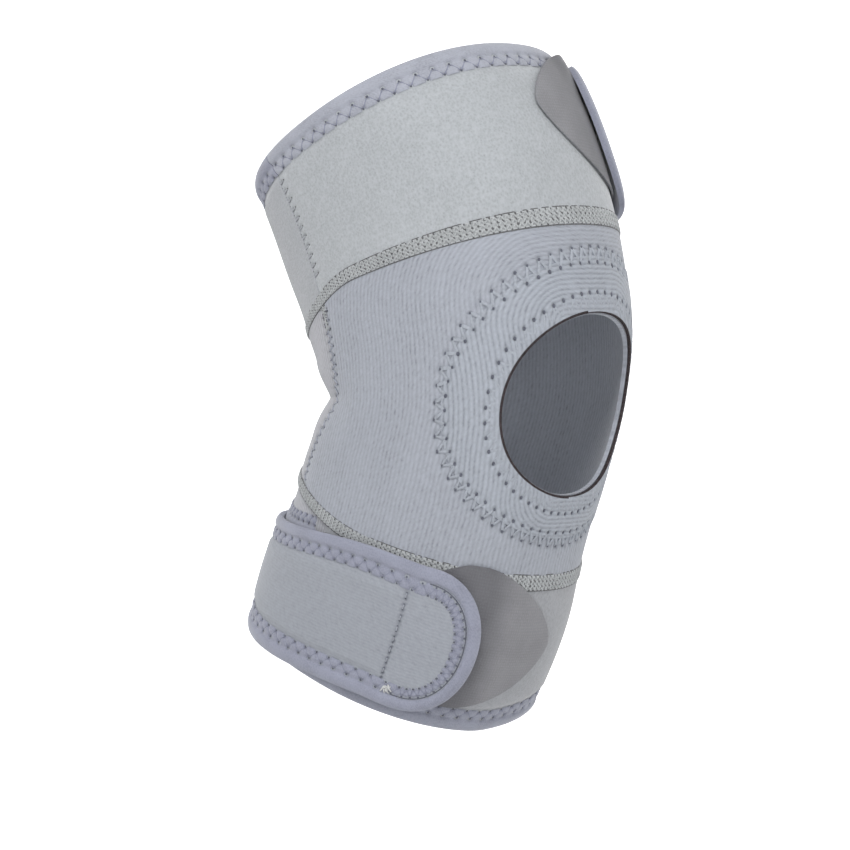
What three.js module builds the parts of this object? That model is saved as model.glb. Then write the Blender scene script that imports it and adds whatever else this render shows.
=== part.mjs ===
// Knee sleeve: a padded knit wrap in the shape that it takes on a slightly bent knee.
// Millimetres, +Z up. The origin is the middle of the knee, -Y is the kneecap side and -X the side
// where the calf strap ends. Every piece is a curved sheet with a real thickness.
import * as THREE from 'three';
import { toCreasedNormals } from 'three/addons/utils/BufferGeometryUtils.js';

// Sizes of the cloth
const wall = 3.0; // padded knit
const knitWall = 1.4; // thin knit without padding
const tape = 0.6; // binding tape, folded over an edge
const tapeWidth = 9.5;
const squeeze = 1.0; // how far a bound edge is pressed in, on each face
const squeezeRun = 2.5;
const tabWall = 0.75;
const tabSlack = 0.35;
const gap = 0.3;

// Lengths along the leg, measured from the middle of the knee
const topRim = 113;
const bottomRim = -113;
const bottomRise = 4; // the bottom rim stands a little higher in front, on the right
const upperSeam = 51;
const upperSeamDip = 15;
const lowerSeam = -52;
const lowerSeamRise = 10;

// Angles round the leg in degrees: 0 is the front, 90 the left side (-X) and 180 the back
const sideSeamHigh = 117;
const sideSeamLow = 131;
const sideSeamTop = 113;
const thighTail = -152;
const calfTail = 150;
const columnStep = 9;

// Kneecap hole and the pad round it, as half sizes round the leg (degrees) and along it
const hole = { around: 38.5, along: 24.5, middle: 0 };
const pad = { around: 62, along: 39, middle: 1 };
const padBed = 1.3;
const padEdge = -0.5;
const padCrown = 0.6;

// The straps lie this far above the sleeve's face, and higher where their hook tab is under them
const strapLift = 3.7;
const tabLift = 1.7;
const endPress = 0.75; // the strap is pressed flatter where its tab is sewn on
const endSlack = 0.25; // its tape lies a little looser there
const strapRounding = 2.2;
const strapEndDepth = 22;
const tabRounding = 1.5;
const mmPerDegree = 1.05;

// The leg, one row for each section. along: place on the leg. y, z: centre. tilt: how far the
// section leans back, degrees. half, front, back: reach to the side, to the front and to the back.
const sections = [
  { along: -120, y: 37.5, z: -113, tilt: -22, half: 52, front: 56.5, back: 58 },
  { along: -95, y: 27, z: -90, tilt: -23, half: 53, front: 60, back: 61 },
  { along: -70, y: 17, z: -67, tilt: -22, half: 53.5, front: 60.5, back: 61 },
  { along: -45, y: 9, z: -44, tilt: -17, half: 54, front: 58, back: 59 },
  { along: -20, y: 1, z: -20, tilt: -9, half: 55, front: 59, back: 58 },
  { along: 0, y: -5, z: 1, tilt: -2, half: 56, front: 62, back: 58 },
  { along: 20, y: -5, z: 22, tilt: 6, half: 57, front: 65, back: 61.5 },
  { along: 45, y: -1, z: 47, tilt: 16, half: 58, front: 66, back: 65 },
  { along: 70, y: 8, z: 71, tilt: 23, half: 59, front: 67.5, back: 66.5 },
  { along: 95, y: 19, z: 94, tilt: 27, half: 61, front: 67, back: 65 },
  { along: 120, y: 32, z: 115, tilt: 30, half: 63.5, front: 64, back: 62 },
];
const sectionPower = 2.2;

// Folds behind the knee. along: place. depth: how deep. reach: half height. span: half width, degrees.
const folds = [
  { along: 0, depth: 7, reach: 7, span: 75 },
  { along: 21, depth: 1.4, reach: 6, span: 55 },
  { along: -20, depth: 1.2, reach: 6, span: 50 },
];
const foldPower = 1.3;
const foldFade = 0.7;

// Rows of the knee pieces, closer together near the fold
const kneeLevels = [-33, -22, -13, -7, -3, 0, 3, 7, 13, 22, 34];

const radians = Math.PI / 180;

function smooth(t) {
  const s = Math.min(Math.max(t, 0), 1);
  return s * s * (3 - 2 * s);
}

function mix(a, b, t) {
  return a + (b - a) * t;
}

function wrapped(around) {
  return ((around + 180) % 360 + 360) % 360 - 180;
}

// One column of the section table at any place along the leg, by a cubic through the rows
function sectionValue(along, name) {
  const last = sections.length - 1;
  let i = 0;
  while (i < last - 1 && along > sections[i + 1].along) i += 1;
  const slope = (k) => {
    const before = sections[Math.max(k - 1, 0)];
    const after = sections[Math.min(k + 1, last)];
    return (after[name] - before[name]) / (after.along - before.along);
  };
  const low = sections[i];
  const high = sections[i + 1];
  const run = high.along - low.along;
  const t = (along - low.along) / run;
  const rise = high[name] - low[name];
  const start = slope(i) * run;
  const end = slope(i + 1) * run;
  return low[name] + start * t + (3 * rise - 2 * start - end) * t ** 2 + (start + end - 2 * rise) * t ** 3;
}

function foldDepth(along, around) {
  const fromBack = Math.abs(wrapped(around - 180));
  let depth = 0;
  for (const fold of folds) {
    const across = Math.exp(-(Math.abs((along - fold.along) / fold.reach) ** foldPower));
    depth += fold.depth * across * Math.max(1 - fromBack / fold.span, 0) ** foldFade;
  }
  return depth;
}

// A point of the sleeve: along the leg, round it in degrees, and out from the sleeve's outer face
function sleevePoint(along, around, out) {
  const side = Math.sin(around * radians);
  const ahead = Math.cos(around * radians);
  const depth = sectionValue(along, ahead >= 0 ? 'front' : 'back');
  const across = Math.abs(side / sectionValue(along, 'half')) ** sectionPower;
  const through = Math.abs(ahead / depth) ** sectionPower;
  const reach = (across + through) ** (-1 / sectionPower) + out - foldDepth(along, around);
  const tilt = sectionValue(along, 'tilt') * radians;
  const forward = reach * ahead;
  return new THREE.Vector3(
    -reach * side,
    sectionValue(along, 'y') - forward * Math.cos(tilt),
    sectionValue(along, 'z') + forward * Math.sin(tilt),
  );
}

// Seams and rims
function upperSeamAt(around) {
  return upperSeam - upperSeamDip * smooth((Math.abs(wrapped(around)) - 95) / 60);
}

function lowerSeamAt(around) {
  return lowerSeam + lowerSeamRise * smooth((Math.abs(wrapped(around)) - 85) / 70);
}

function sideSeamAt(along) {
  if (along > upperSeam) return mix(sideSeamHigh, sideSeamTop, (along - upperSeam) / (topRim - upperSeam));
  return sideSeamHigh + (sideSeamLow - sideSeamHigh) * smooth((15 - along) / 50);
}

function bottomRimAt(around) {
  const angle = wrapped(around);
  return bottomRim + bottomRise * smooth((15 - angle) / 40) * smooth((angle + sideSeamLow) / 40);
}

function calfBackEdgeAt(around) {
  return -60.5 - 7 * smooth((around - 100) / 45);
}

function calfTailTopAt(around) {
  return around < 104 ? lowerSeamAt(around) - gap / 2 : calfBackEdgeAt(around) - 2 * gap - tape;
}

// Sheets: nodes hold a place on the sleeve and the two faces there, cells hold four nodes each
function gridSheet(columns, rows, place, closed = false) {
  const nodes = [];
  const cells = [];
  for (let i = 0; i < columns; i += 1) {
    for (let j = 0; j < rows; j += 1) nodes.push(place(i, j));
  }
  const count = closed ? columns : columns - 1;
  for (let i = 0; i < count; i += 1) {
    const next = (i + 1) % columns;
    for (let j = 0; j < rows - 1; j += 1) {
      cells.push([i * rows + j, i * rows + j + 1, next * rows + j + 1, next * rows + j]);
    }
  }
  return { nodes, cells };
}

function joinSheets(...sheets) {
  const nodes = [];
  const cells = [];
  const seen = new Map();
  for (const sheet of sheets) {
    const places = sheet.nodes.map((node) => {
      const key = `${node.around.toFixed(3)} ${node.along.toFixed(3)}`;
      if (!seen.has(key)) {
        seen.set(key, nodes.length);
        nodes.push(node);
      }
      return seen.get(key);
    });
    for (const cell of sheet.cells) cells.push(cell.map((n) => places[n]));
  }
  return { nodes, cells };
}

// Cells run clockwise as seen on the map of the sleeve, which turns their faces outward
function clockwise(cell, nodes) {
  let area = 0;
  cell.forEach((n, k) => {
    const a = nodes[n];
    const b = nodes[cell[(k + 1) % cell.length]];
    area += a.around * b.along - b.around * a.along;
  });
  return area > 0 ? [...cell].reverse() : cell;
}

function bodyFrom(points, triangles) {
  const geometry = new THREE.BufferGeometry();
  geometry.setAttribute('position', new THREE.Float32BufferAttribute(points.flatMap((p) => p.toArray()), 3));
  geometry.setIndex(triangles.flat());
  return toCreasedNormals(geometry, 0.7);
}

// The solid between the two faces of a sheet
function thicken(sheet) {
  const { nodes } = sheet;
  const count = nodes.length;
  const points = [
    ...nodes.map((n) => sleevePoint(n.along, n.around, n.outer)),
    ...nodes.map((n) => sleevePoint(n.along, n.around, n.inner)),
  ];
  const triangles = [];
  const edges = new Map();
  for (const cell of sheet.cells.map((c) => clockwise(c, nodes))) {
    const [a, b, c, d] = cell;
    triangles.push([a, b, c], [a, c, d]);
    triangles.push([a + count, c + count, b + count], [a + count, d + count, c + count]);
    cell.forEach((from, k) => edges.set(`${from} ${cell[(k + 1) % 4]}`, [from, cell[(k + 1) % 4]]));
  }
  for (const [from, to] of edges.values()) {
    if (edges.has(`${to} ${from}`)) continue;
    triangles.push([to, from, from + count], [to, from + count, to + count]);
  }
  return bodyFrom(points, triangles);
}

function wallNode(along, around, lift = 0, press = 0) {
  return { along, around, outer: lift - press, inner: lift - wall + press };
}

function anglesBetween(first, last) {
  const angles = [first];
  const margin = 2;
  for (let k = Math.ceil((first + margin) / columnStep); k * columnStep < last - margin; k += 1) {
    angles.push(k * columnStep);
  }
  return [...angles, last];
}

// Bands round the thigh and the calf. Rows run from the seam to the bound rim.
function bandSheet(angles, seamAt, rimAt, sideAt) {
  const toSeam = Math.sign(seamAt(0) - rimAt(0));
  const rows = [
    { from: 'seam', share: 0 },
    { from: 'seam', share: 0.35 },
    { from: 'seam', share: 0.7 },
    { from: 'rim', distance: tapeWidth + gap + squeezeRun, press: 0 },
    { from: 'rim', distance: tapeWidth + gap, press: squeeze },
    { from: 'rim', distance: 0, press: squeeze },
  ];
  return gridSheet(angles.length, rows.length, (i, j) => {
    const row = rows[j];
    const seam = seamAt(angles[i]);
    const rim = rimAt(angles[i]);
    const field = rim + toSeam * (tapeWidth + gap + squeezeRun);
    const along = row.from === 'seam' ? mix(seam, field, row.share) : rim + toSeam * row.distance;
    return wallNode(along, sideAt(i, along, angles[i]), 0, row.press ?? 0);
  });
}

function thighBand() {
  const angles = anglesBetween(thighTail, sideSeamHigh);
  const last = angles.length - 1;
  const sideAt = (i, along, angle) => (i === last ? sideSeamAt(along) - gap / 2 : angle);
  return thicken(bandSheet(angles, (a) => upperSeamAt(a) + gap / 2, () => topRim, sideAt));
}

function calfBand() {
  const angles = anglesBetween(-sideSeamLow + gap / 2, calfTail);
  return thicken(bandSheet(angles, calfTailTopAt, bottomRimAt, (i, along, angle) => angle));
}

// The knee panel: a frame of cells round the hole, and a grid on each side of it
const frameHalf = 72;

function frameRays() {
  const lowAt = (around) => lowerSeamAt(around) + gap / 2;
  const highAt = (around) => upperSeamAt(around) - gap / 2;
  const across = anglesBetween(-frameHalf, frameHalf);
  const left = kneeLevels.map((along) => ({ around: frameHalf, along }));
  const right = kneeLevels.map((along) => ({ around: -frameHalf, along })).reverse();
  const top = across.map((around) => ({ around, along: highAt(around) })).reverse();
  const bottom = across.map((around) => ({ around, along: lowAt(around) }));
  return [...left, ...top, ...right, ...bottom].map((edge) => {
    const turn = Math.atan2(edge.along / upperSeam, edge.around / frameHalf);
    const onRing = (ring) => ({
      around: ring.around * Math.cos(turn),
      along: ring.middle + ring.along * Math.sin(turn),
    });
    return { edge, onHole: onRing(hole), onPad: onRing(pad) };
  });
}

function between(a, b, t) {
  return { around: mix(a.around, b.around, t), along: mix(a.along, b.along, t) };
}

function kneePanel() {
  const rays = frameRays();
  const bedSlope = 0.16;
  const frame = gridSheet(rays.length, 5, (i, j) => {
    const { edge, onHole, onPad } = rays[i];
    const steps = [onHole, between(onHole, onPad, 0.5), onPad, between(onPad, edge, bedSlope), edge];
    const press = j < 3 ? padBed : 0;
    return { ...steps[j], outer: -press, inner: -wall };
  }, true);
  const sides = [1, -1].map((side) => {
    const columns = [...anglesBetween(frameHalf, 108), 'middle', 'seam'];
    const rows = ['low', ...kneeLevels, 'high'];
    return gridSheet(columns.length, rows.length, (i, j) => {
      const nominal = typeof columns[i] === 'number' ? columns[i] : sideSeamHigh;
      const placeAt = (angle) => {
        if (rows[j] === 'low') return lowerSeamAt(angle) + gap / 2;
        if (rows[j] === 'high') return upperSeamAt(angle) - gap / 2;
        return rows[j];
      };
      const seam = sideSeamAt(placeAt(nominal)) - gap / 2;
      const around = { middle: (108 + seam) / 2, seam }[columns[i]] ?? columns[i];
      return wallNode(placeAt(around), side * around);
    });
  });
  return thicken(joinSheets(frame, ...sides));
}

function patellaRing() {
  const rays = frameRays();
  const shares = [0.02, 0.25, 0.5, 0.75, 0.97];
  const heights = [padEdge, mix(padEdge, padCrown, 0.8), padCrown, mix(padEdge, padCrown, 0.8), padEdge];
  return thicken(gridSheet(rays.length, shares.length, (i, j) => ({
    ...between(rays[i].onHole, rays[i].onPad, shares[j]),
    outer: heights[j],
    inner: gap - padBed,
  }), true));
}

function kneeBack() {
  const inner = anglesBetween(135, 225);
  const columns = ['seam', 'middle', ...inner, 'farMiddle', 'farSeam'];
  const rows = ['low', ...kneeLevels, 'high'];
  return thicken(gridSheet(columns.length, rows.length, (i, j) => {
    const placeAt = (angle) => {
      if (rows[j] === 'low') return lowerSeamAt(angle) + gap / 2;
      if (rows[j] === 'high') return upperSeamAt(angle) - gap / 2;
      return rows[j];
    };
    const seam = sideSeamAt(placeAt(sideSeamHigh)) + gap / 2;
    const middle = (seam + inner[0]) / 2;
    const named = { seam, middle, farMiddle: 360 - middle, farSeam: 360 - seam };
    const around = named[columns[i]] ?? columns[i];
    return wallNode(placeAt(around), around);
  }));
}

function calfBack() {
  const start = 99.5;
  const angles = [start, ...anglesBetween(117, 360 - sideSeamLow - gap / 2)];
  return thicken(gridSheet(angles.length, 3, (i, j) => {
    const share = j / 2;
    const around = i === 0 ? start + columnStep * share : angles[i];
    const along = mix(lowerSeamAt(around) - gap / 2, calfBackEdgeAt(around), share);
    const outer = (knitWall - wall) / 2;
    return { along, around, outer, inner: outer - knitWall };
  }));
}

// A strap runs from its side seam round the back to a rounded end over the other side's tail
function share(from, to, around) {
  return Math.min(Math.max((around - from) / (to - from), 0), 1);
}

const thighStrap = {
  heading: 1,
  seamAt: (along) => sideSeamAt(along) + gap / 2,
  start: sideSeamHigh,
  tip: 335,
  shoulder: 306,
  freeFrom: 208,
  upperAt: () => topRim,
  lowerAt: (around) => upperSeamAt(around) + gap / 2 + 1.2 * smooth((around - 195) / 12),
  liftAt: (around) => strapLift * share(189, 207, around) + tabLift * share(297, 306, around),
  endAt: (around) => share(297, 306, around),
  pressLowerAt: (around) => (around > 200 ? 1 : 0),
};
const calfStrap = {
  heading: -1,
  seamAt: () => 360 - sideSeamLow - gap / 2,
  start: 360 - sideSeamLow - gap / 2,
  tip: 28,
  shoulder: 54,
  freeFrom: 360 - sideSeamLow - gap,
  upperAt: (around) => -52 - 18 * smooth((around - 70) / 100),
  lowerAt: (around) => -107.5 - 6.5 * smooth((around - 50) / 90),
  liftAt: (around) => strapLift * share(189, 153, around) + tabLift * share(63, 54, around),
  endAt: (around) => share(63, 54, around),
  pressLowerAt: () => 1,
};

function strapColumns(strap) {
  if (strap.heading > 0) return anglesBetween(strap.start, strap.shoulder);
  return anglesBetween(strap.shoulder, strap.start).reverse();
}

// Rows across a strap: a distance in from its lower or upper edge, or a share of its half width
const strapRows = [
  { edge: 'lower', distance: 0 },
  { edge: 'lower', distance: 3 },
  { edge: 'lower', distance: tapeWidth + gap },
  { edge: 'lower', distance: tapeWidth + gap + squeezeRun },
  { share: -0.3 },
  { share: 0.3 },
  { edge: 'upper', distance: tapeWidth + gap + squeezeRun },
  { edge: 'upper', distance: tapeWidth + gap },
  { edge: 'upper', distance: 3 },
  { edge: 'upper', distance: 0 },
];

function strapAlong(strap, row, around) {
  const lower = strap.lowerAt(around);
  const upper = strap.upperAt(around);
  if (row.edge === 'lower') return lower + row.distance;
  if (row.edge === 'upper') return upper - row.distance;
  return mix(lower, upper, (1 + row.share) / 2);
}

// Where a row meets the rounded end
function strapEnd(strap, row) {
  const lower = strap.lowerAt(strap.shoulder);
  const upper = strap.upperAt(strap.shoulder);
  const off = (2 * strapAlong(strap, row, strap.shoulder) - lower - upper) / (upper - lower);
  const bulge = (1 - Math.min(Math.abs(off), 1) ** strapRounding) ** (1 / strapRounding);
  return strap.tip - strap.heading * strapEndDepth * (1 - bulge);
}

function strapBody(strap) {
  const run = strapColumns(strap);
  const endSteps = [0.3, 0.6, 0.82, 1];
  return thicken(gridSheet(run.length + endSteps.length, strapRows.length, (i, j) => {
    const row = strapRows[j];
    let around = run[Math.min(i, run.length - 1)];
    if (i === 0) around = strap.seamAt(strapAlong(strap, row, around));
    if (i >= run.length) around = mix(strap.shoulder, strapEnd(strap, row), endSteps[i - run.length]);
    const bound = row.distance <= tapeWidth + gap;
    const atEdge = row.edge === 'lower' ? strap.pressLowerAt(around) : 1;
    const press = mix(bound ? squeeze * atEdge : 0, endPress, strap.endAt(around));
    return wallNode(strapAlong(strap, row, around), around, strap.liftAt(around), press);
  }));
}

// Folded tape over an edge. Each stop of the route holds a place on the edge, the way out of the
// cloth there, the middle of the cloth and half its thickness.
function foldedTape(route) {
  const places = route.map((stop, k) => {
    const before = route[Math.max(k - 1, 0)];
    const after = route[Math.min(k + 1, route.length - 1)];
    const round = (after.around - before.around) * mmPerDegree;
    const up = after.along - before.along;
    const length = Math.hypot(round, up);
    return { ...stop, outRound: up / length / mmPerDegree, outUp: -round / length };
  });
  const points = [];
  for (const stop of places) {
    const half = stop.half;
    const skin = half + gap + tape;
    const roll = gap + tape;
    const section = [
      [-tapeWidth, skin], [gap, skin], [roll, half / 2], [roll, -half / 2], [gap, -skin], [-tapeWidth, -skin],
      [-tapeWidth, -half - gap], [gap, -half - gap], [gap, half + gap], [-tapeWidth, half + gap],
    ];
    for (const [outward, height] of section) {
      const around = stop.around + stop.side * outward * stop.outRound;
      const along = stop.along + stop.side * outward * stop.outUp;
      points.push(sleevePoint(along, around, stop.middleAt(around) + height));
    }
  }
  const size = 10;
  const triangles = [];
  for (let k = 0; k < places.length - 1; k += 1) {
    for (let n = 0; n < size; n += 1) {
      const a = k * size + n;
      const b = k * size + (n + 1) % size;
      triangles.push([a, b, b + size], [a, b + size, a + size]);
    }
  }
  const cap = [[0, 1, 8], [0, 8, 9], [1, 2, 8], [2, 3, 7], [2, 7, 8], [3, 4, 7], [4, 5, 6], [4, 6, 7]];
  const end = (places.length - 1) * size;
  for (const [a, b, c] of cap) {
    triangles.push([a, c, b], [a + end, b + end, c + end]);
  }
  const body = route[0].side < 0 ? triangles : triangles.map(([a, b, c]) => [a, c, b]);
  return bodyFrom(points, body);
}

const boundHalf = wall / 2 - squeeze;
const wallMiddle = () => -wall / 2;

function thighBinding() {
  const angles = anglesBetween(thighTail, sideSeamAt(topRim) - gap / 2);
  const stop = { along: topRim, middleAt: wallMiddle, half: boundHalf, side: -1 };
  return foldedTape(angles.map((around) => ({ ...stop, around })));
}

function calfBinding() {
  const angles = anglesBetween(-sideSeamLow + gap, calfTail);
  const stop = { middleAt: wallMiddle, half: boundHalf, side: 1 };
  return foldedTape(angles.map((around) => ({ ...stop, around, along: bottomRimAt(around) })));
}

function calfBackBinding() {
  const angles = anglesBetween(109.5, 360 - sideSeamLow - gap);
  const stop = { middleAt: wallMiddle, half: knitWall / 2, side: 1 };
  return foldedTape(angles.map((around) => ({ ...stop, around, along: calfBackEdgeAt(around) })));
}

function strapBinding(strap) {
  const stopAt = (along, around) => ({
    along,
    around,
    middleAt: (angle) => strap.liftAt(angle) - wall / 2,
    half: wall / 2 - mix(squeeze, endPress - endSlack, strap.endAt(around)),
    side: -strap.heading,
  });
  const run = strapColumns(strap);
  run[0] = strap.seamAt(topRim) + strap.heading * gap / 2;
  const upper = run.map((around) => stopAt(strap.upperAt(around), around));
  const end = [...strapRows].reverse().map((row) => {
    const around = strapEnd(strap, row);
    return stopAt(strapAlong(strap, row, around), around);
  });
  const free = run.filter((around) => strap.heading * (around - strap.freeFrom) > columnStep / 4);
  const lower = [...free.reverse(), strap.freeFrom].map((around) => stopAt(strap.lowerAt(around), around));
  return foldedTape([...upper, ...end, ...lower]);
}

// Hook tabs: a rounded end that grips the band, and a root under the strap
const thighTab = { root: -38, base: -29, tip: 7, middle: 88, above: 24, below: 27 };
const calfTab = { root: 41, base: 30, tip: -7, middle: -74, above: 27, below: 27 };

function hookTab(tab) {
  const shares = [-1, -0.9, -0.7, -0.4, 0, 0.4, 0.7, 0.9, 1];
  const steps = 6;
  const inner = gap + tabSlack;
  return thicken(gridSheet(steps + 1, shares.length, (i, j) => {
    const bulge = (1 - Math.abs(shares[j]) ** tabRounding) ** (1 / tabRounding);
    const end = mix(tab.base, tab.tip, bulge);
    const around = mix(tab.root, end, i / steps);
    const reach = shares[j] > 0 ? tab.above : tab.below;
    return { along: tab.middle + reach * shares[j], around, outer: inner + tabWall, inner };
  }));
}

// Cloth finishes
const finish = (color, roughness) => new THREE.MeshStandardMaterial({ color, roughness, metalness: 0 });
const loopCloth = 0xb7bcc0;
const calfLoopCloth = 0x9b9b9e;
const jersey = 0xa1a5af;
const ringJersey = 0xa4a8b1;
const backKnit = 0xb0afb4;
const strapJersey = 0x9a9ea7;
const tapeCloth = 0xa3a6b1;
const strapTape = 0x9094a2;
const hookCloth = 0x88888d;

const group = new THREE.Group();

function addPiece(name, geometry, material) {
  const piece = new THREE.Mesh(geometry, material);
  piece.name = name;
  group.add(piece);
}

addPiece('thigh_band', thighBand(), finish(loopCloth, 0.95));
addPiece('knee_panel', kneePanel(), finish(jersey, 0.85));
addPiece('patella_ring', patellaRing(), finish(ringJersey, 0.85));
addPiece('knee_back', kneeBack(), finish(backKnit, 0.85));
addPiece('calf_band', calfBand(), finish(calfLoopCloth, 0.95));
addPiece('calf_back', calfBack(), finish(backKnit, 0.85));
addPiece('thigh_strap', strapBody(thighStrap), finish(strapJersey, 0.85));
addPiece('calf_strap', strapBody(calfStrap), finish(strapJersey, 0.85));
addPiece('thigh_binding', thighBinding(), finish(tapeCloth, 0.9));
addPiece('calf_binding', calfBinding(), finish(tapeCloth, 0.9));
addPiece('calf_back_binding', calfBackBinding(), finish(tapeCloth, 0.9));
addPiece('thigh_strap_binding', strapBinding(thighStrap), finish(strapTape, 0.9));
addPiece('calf_strap_binding', strapBinding(calfStrap), finish(strapTape, 0.9));
addPiece('thigh_hook_tab', hookTab(thighTab), finish(hookCloth, 0.7));
addPiece('calf_hook_tab', hookTab(calfTab), finish(hookCloth, 0.7));

export default group;
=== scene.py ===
# %% [markdown]
# # A knee sleeve, dressed as cloth
# The frame holds the sleeve's plain solids. Here each of them is replaced by the real thing: padded knit
# with ribs and loop pile, folded tape on the rims, zigzag seams that pull the cloth in, and threads.
# Everything is cut flat first, as a maker cuts cloth on a table, and then wrapped round the leg's form.

# %% Load the frame
import math

import bpy
import numpy as np
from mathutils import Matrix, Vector
from mathutils.kdtree import KDTree


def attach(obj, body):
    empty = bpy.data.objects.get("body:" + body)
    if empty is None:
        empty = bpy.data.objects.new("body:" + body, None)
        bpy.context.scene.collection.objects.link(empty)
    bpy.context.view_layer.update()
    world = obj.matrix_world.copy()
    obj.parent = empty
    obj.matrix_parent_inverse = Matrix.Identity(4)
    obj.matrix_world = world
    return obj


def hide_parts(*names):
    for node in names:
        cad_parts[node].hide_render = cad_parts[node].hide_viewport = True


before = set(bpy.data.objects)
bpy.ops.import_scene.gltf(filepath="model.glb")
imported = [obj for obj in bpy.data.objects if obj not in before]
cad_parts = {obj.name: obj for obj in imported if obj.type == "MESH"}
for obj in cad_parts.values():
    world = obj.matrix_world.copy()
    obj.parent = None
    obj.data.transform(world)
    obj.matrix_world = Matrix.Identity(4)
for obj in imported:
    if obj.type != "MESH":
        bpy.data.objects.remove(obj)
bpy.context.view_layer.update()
bpy.ops.object.select_all(action="DESELECT")
rng = np.random.default_rng(7)
MM = 0.001
print("solids in the frame:", len(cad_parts))

# %% [markdown]
# ## Sizes
# Cloth is drawn in millimetres. A place on the sleeve has three numbers: along the leg, round it in
# degrees, and out from the sleeve's face. On the cutting table x runs round the leg and y along it.

# %% Sizes of the cloth
WALL = 3.0
KNIT_WALL = 1.4
TAPE_WIDTH = 9.5
SQUEEZE = 1.0
SQUEEZE_RUN = 2.5
GAP = 0.3
MM_PER_DEGREE = 1.05
TOP_RIM = 113.0
BOTTOM_RIM = -113.0
UPPER_SEAM = 51.0
LOWER_SEAM = -52.0
THIGH_TAIL = -152.0
CALF_TAIL = 150.0
SIDE_TOP = 113.0
SIDE_MIDDLE = 117.0
SIDE_LOW = 131.0
SEAM_GAP = 0.15
STRAP_SEAM_GAP = 0.03
HOLE = {"around": 38.5, "along": 24.5, "middle": 0.0}
PAD = {"around": 62.0, "along": 39.0, "middle": 1.0}
STRAP_LIFT = 3.7
TAB_LIFT = 1.7
END_DEPTH = 22.0
TAB_ROUNDING = 1.5
TAB_FACE = 1.4
TAB_BACK = 0.66
ZIG_NEAR = 5.3
ZIG_FAR = 8.9
THREAD_RISE = 0.26
GROOVE_AT = 4.75

# %% [markdown]
# ## The form of the leg
# A row of sections carries the form: each is a rounded oval with its own centre, lean and reach. Between
# them every number follows a smooth cubic, so the wrapped cloth has no bends where two sections meet.

# %% Sections and folds
# along, y, z, tilt, half, front, back
SECTIONS = np.array([
    (-120, 37.5, -113, -22, 52, 56.5, 58),
    (-95, 27, -90, -23, 53, 60, 61),
    (-70, 17, -67, -22, 53.5, 60.5, 61),
    (-45, 9, -44, -17, 54, 58, 59),
    (-20, 1, -20, -9, 55, 59, 58),
    (0, -5, 1, -2, 56, 62, 58),
    (20, -5, 22, 6, 57, 65, 61.5),
    (45, -1, 47, 16, 58, 66, 65),
    (70, 8, 71, 23, 59, 67.5, 66.5),
    (95, 19, 94, 27, 61, 67, 65),
    (120, 32, 115, 30, 63.5, 64, 62),
], float)
SECTION_POWER = 2.2
# along, depth, reach, span
FOLDS = ((0, 7, 7, 75), (21, 1.4, 6, 55), (-20, 1.2, 6, 50))
FOLD_POWER = 1.3
FOLD_FADE = 0.7


def smooth(t):
    t = np.clip(t, 0, 1)
    return t * t * (3 - 2 * t)


def mix(a, b, t):
    return a + (b - a) * t


def wrapped(around):
    return (np.asarray(around) + 180) % 360 - 180


SLOPES = np.gradient(SECTIONS, axis=0)
SLOPES[1:-1] = (SECTIONS[2:] - SECTIONS[:-2]) / (SECTIONS[2:, :1] - SECTIONS[:-2, :1])
SLOPES[0] = (SECTIONS[1] - SECTIONS[0]) / (SECTIONS[1, 0] - SECTIONS[0, 0])
SLOPES[-1] = (SECTIONS[-1] - SECTIONS[-2]) / (SECTIONS[-1, 0] - SECTIONS[-2, 0])


def section_values(along):
    """All columns of the section table at these places along the leg."""
    i = np.clip(np.searchsorted(SECTIONS[:, 0], along, side="left") - 1, 0, len(SECTIONS) - 2)
    low, high = SECTIONS[i], SECTIONS[i + 1]
    run = high[:, :1] - low[:, :1]
    t = (along[:, None] - low[:, :1]) / run
    start, end, rise = SLOPES[i] * run, SLOPES[i + 1] * run, high - low
    return low + start * t + (3 * rise - 2 * start - end) * t**2 + (start + end - 2 * rise) * t**3


def fold_depth(along, around):
    from_back = np.abs(wrapped(around - 180))
    depth = np.zeros_like(along)
    for place, deep, reach, span in FOLDS:
        across = np.exp(-(np.abs((along - place) / reach) ** FOLD_POWER))
        depth += deep * across * np.maximum(1 - from_back / span, 0) ** FOLD_FADE
    return depth


def leg_point(along, around, out):
    """Points in metres for places on the sleeve, given in millimetres and degrees."""
    side, ahead = np.sin(np.radians(around)), np.cos(np.radians(around))
    _, y, z, tilt, half, front, back = section_values(along).T
    reach_ahead = np.where(ahead >= 0, front, back)
    oval = np.abs(side / half) ** SECTION_POWER + np.abs(ahead / reach_ahead) ** SECTION_POWER
    reach = oval ** (-1 / SECTION_POWER) + out - fold_depth(along, around)
    lean = np.radians(tilt)
    forward = reach * ahead
    return np.stack([-reach * side, y - forward * np.cos(lean), z + forward * np.sin(lean)], 1) * MM


print("middle of the front:", leg_point(np.array([0.0]), np.array([0.0]), np.array([0.0])).round(4))

# %% [markdown]
# ## Seams and rims
# Each seam is a line on the form. The same lines cut the cloth and place the stitches, so they agree.

# %% Lines of the seams


def upper_seam(around):
    return UPPER_SEAM - 15 * smooth((np.abs(wrapped(around)) - 95) / 60)


def lower_seam(around):
    return LOWER_SEAM + 10 * smooth((np.abs(wrapped(around)) - 85) / 70)


def side_seam(along):
    above = mix(SIDE_MIDDLE, SIDE_TOP, (along - UPPER_SEAM) / (TOP_RIM - UPPER_SEAM))
    below = SIDE_MIDDLE + (SIDE_LOW - SIDE_MIDDLE) * smooth((15 - along) / 50)
    return np.where(along > UPPER_SEAM, above, below)


def bottom_rim(around):
    angle = wrapped(around)
    return BOTTOM_RIM + 4 * smooth((15 - angle) / 40) * smooth((angle + SIDE_LOW) / 40)


def calf_back_edge(around):
    return -60.5 - 7 * smooth((around - 100) / 45)


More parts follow.
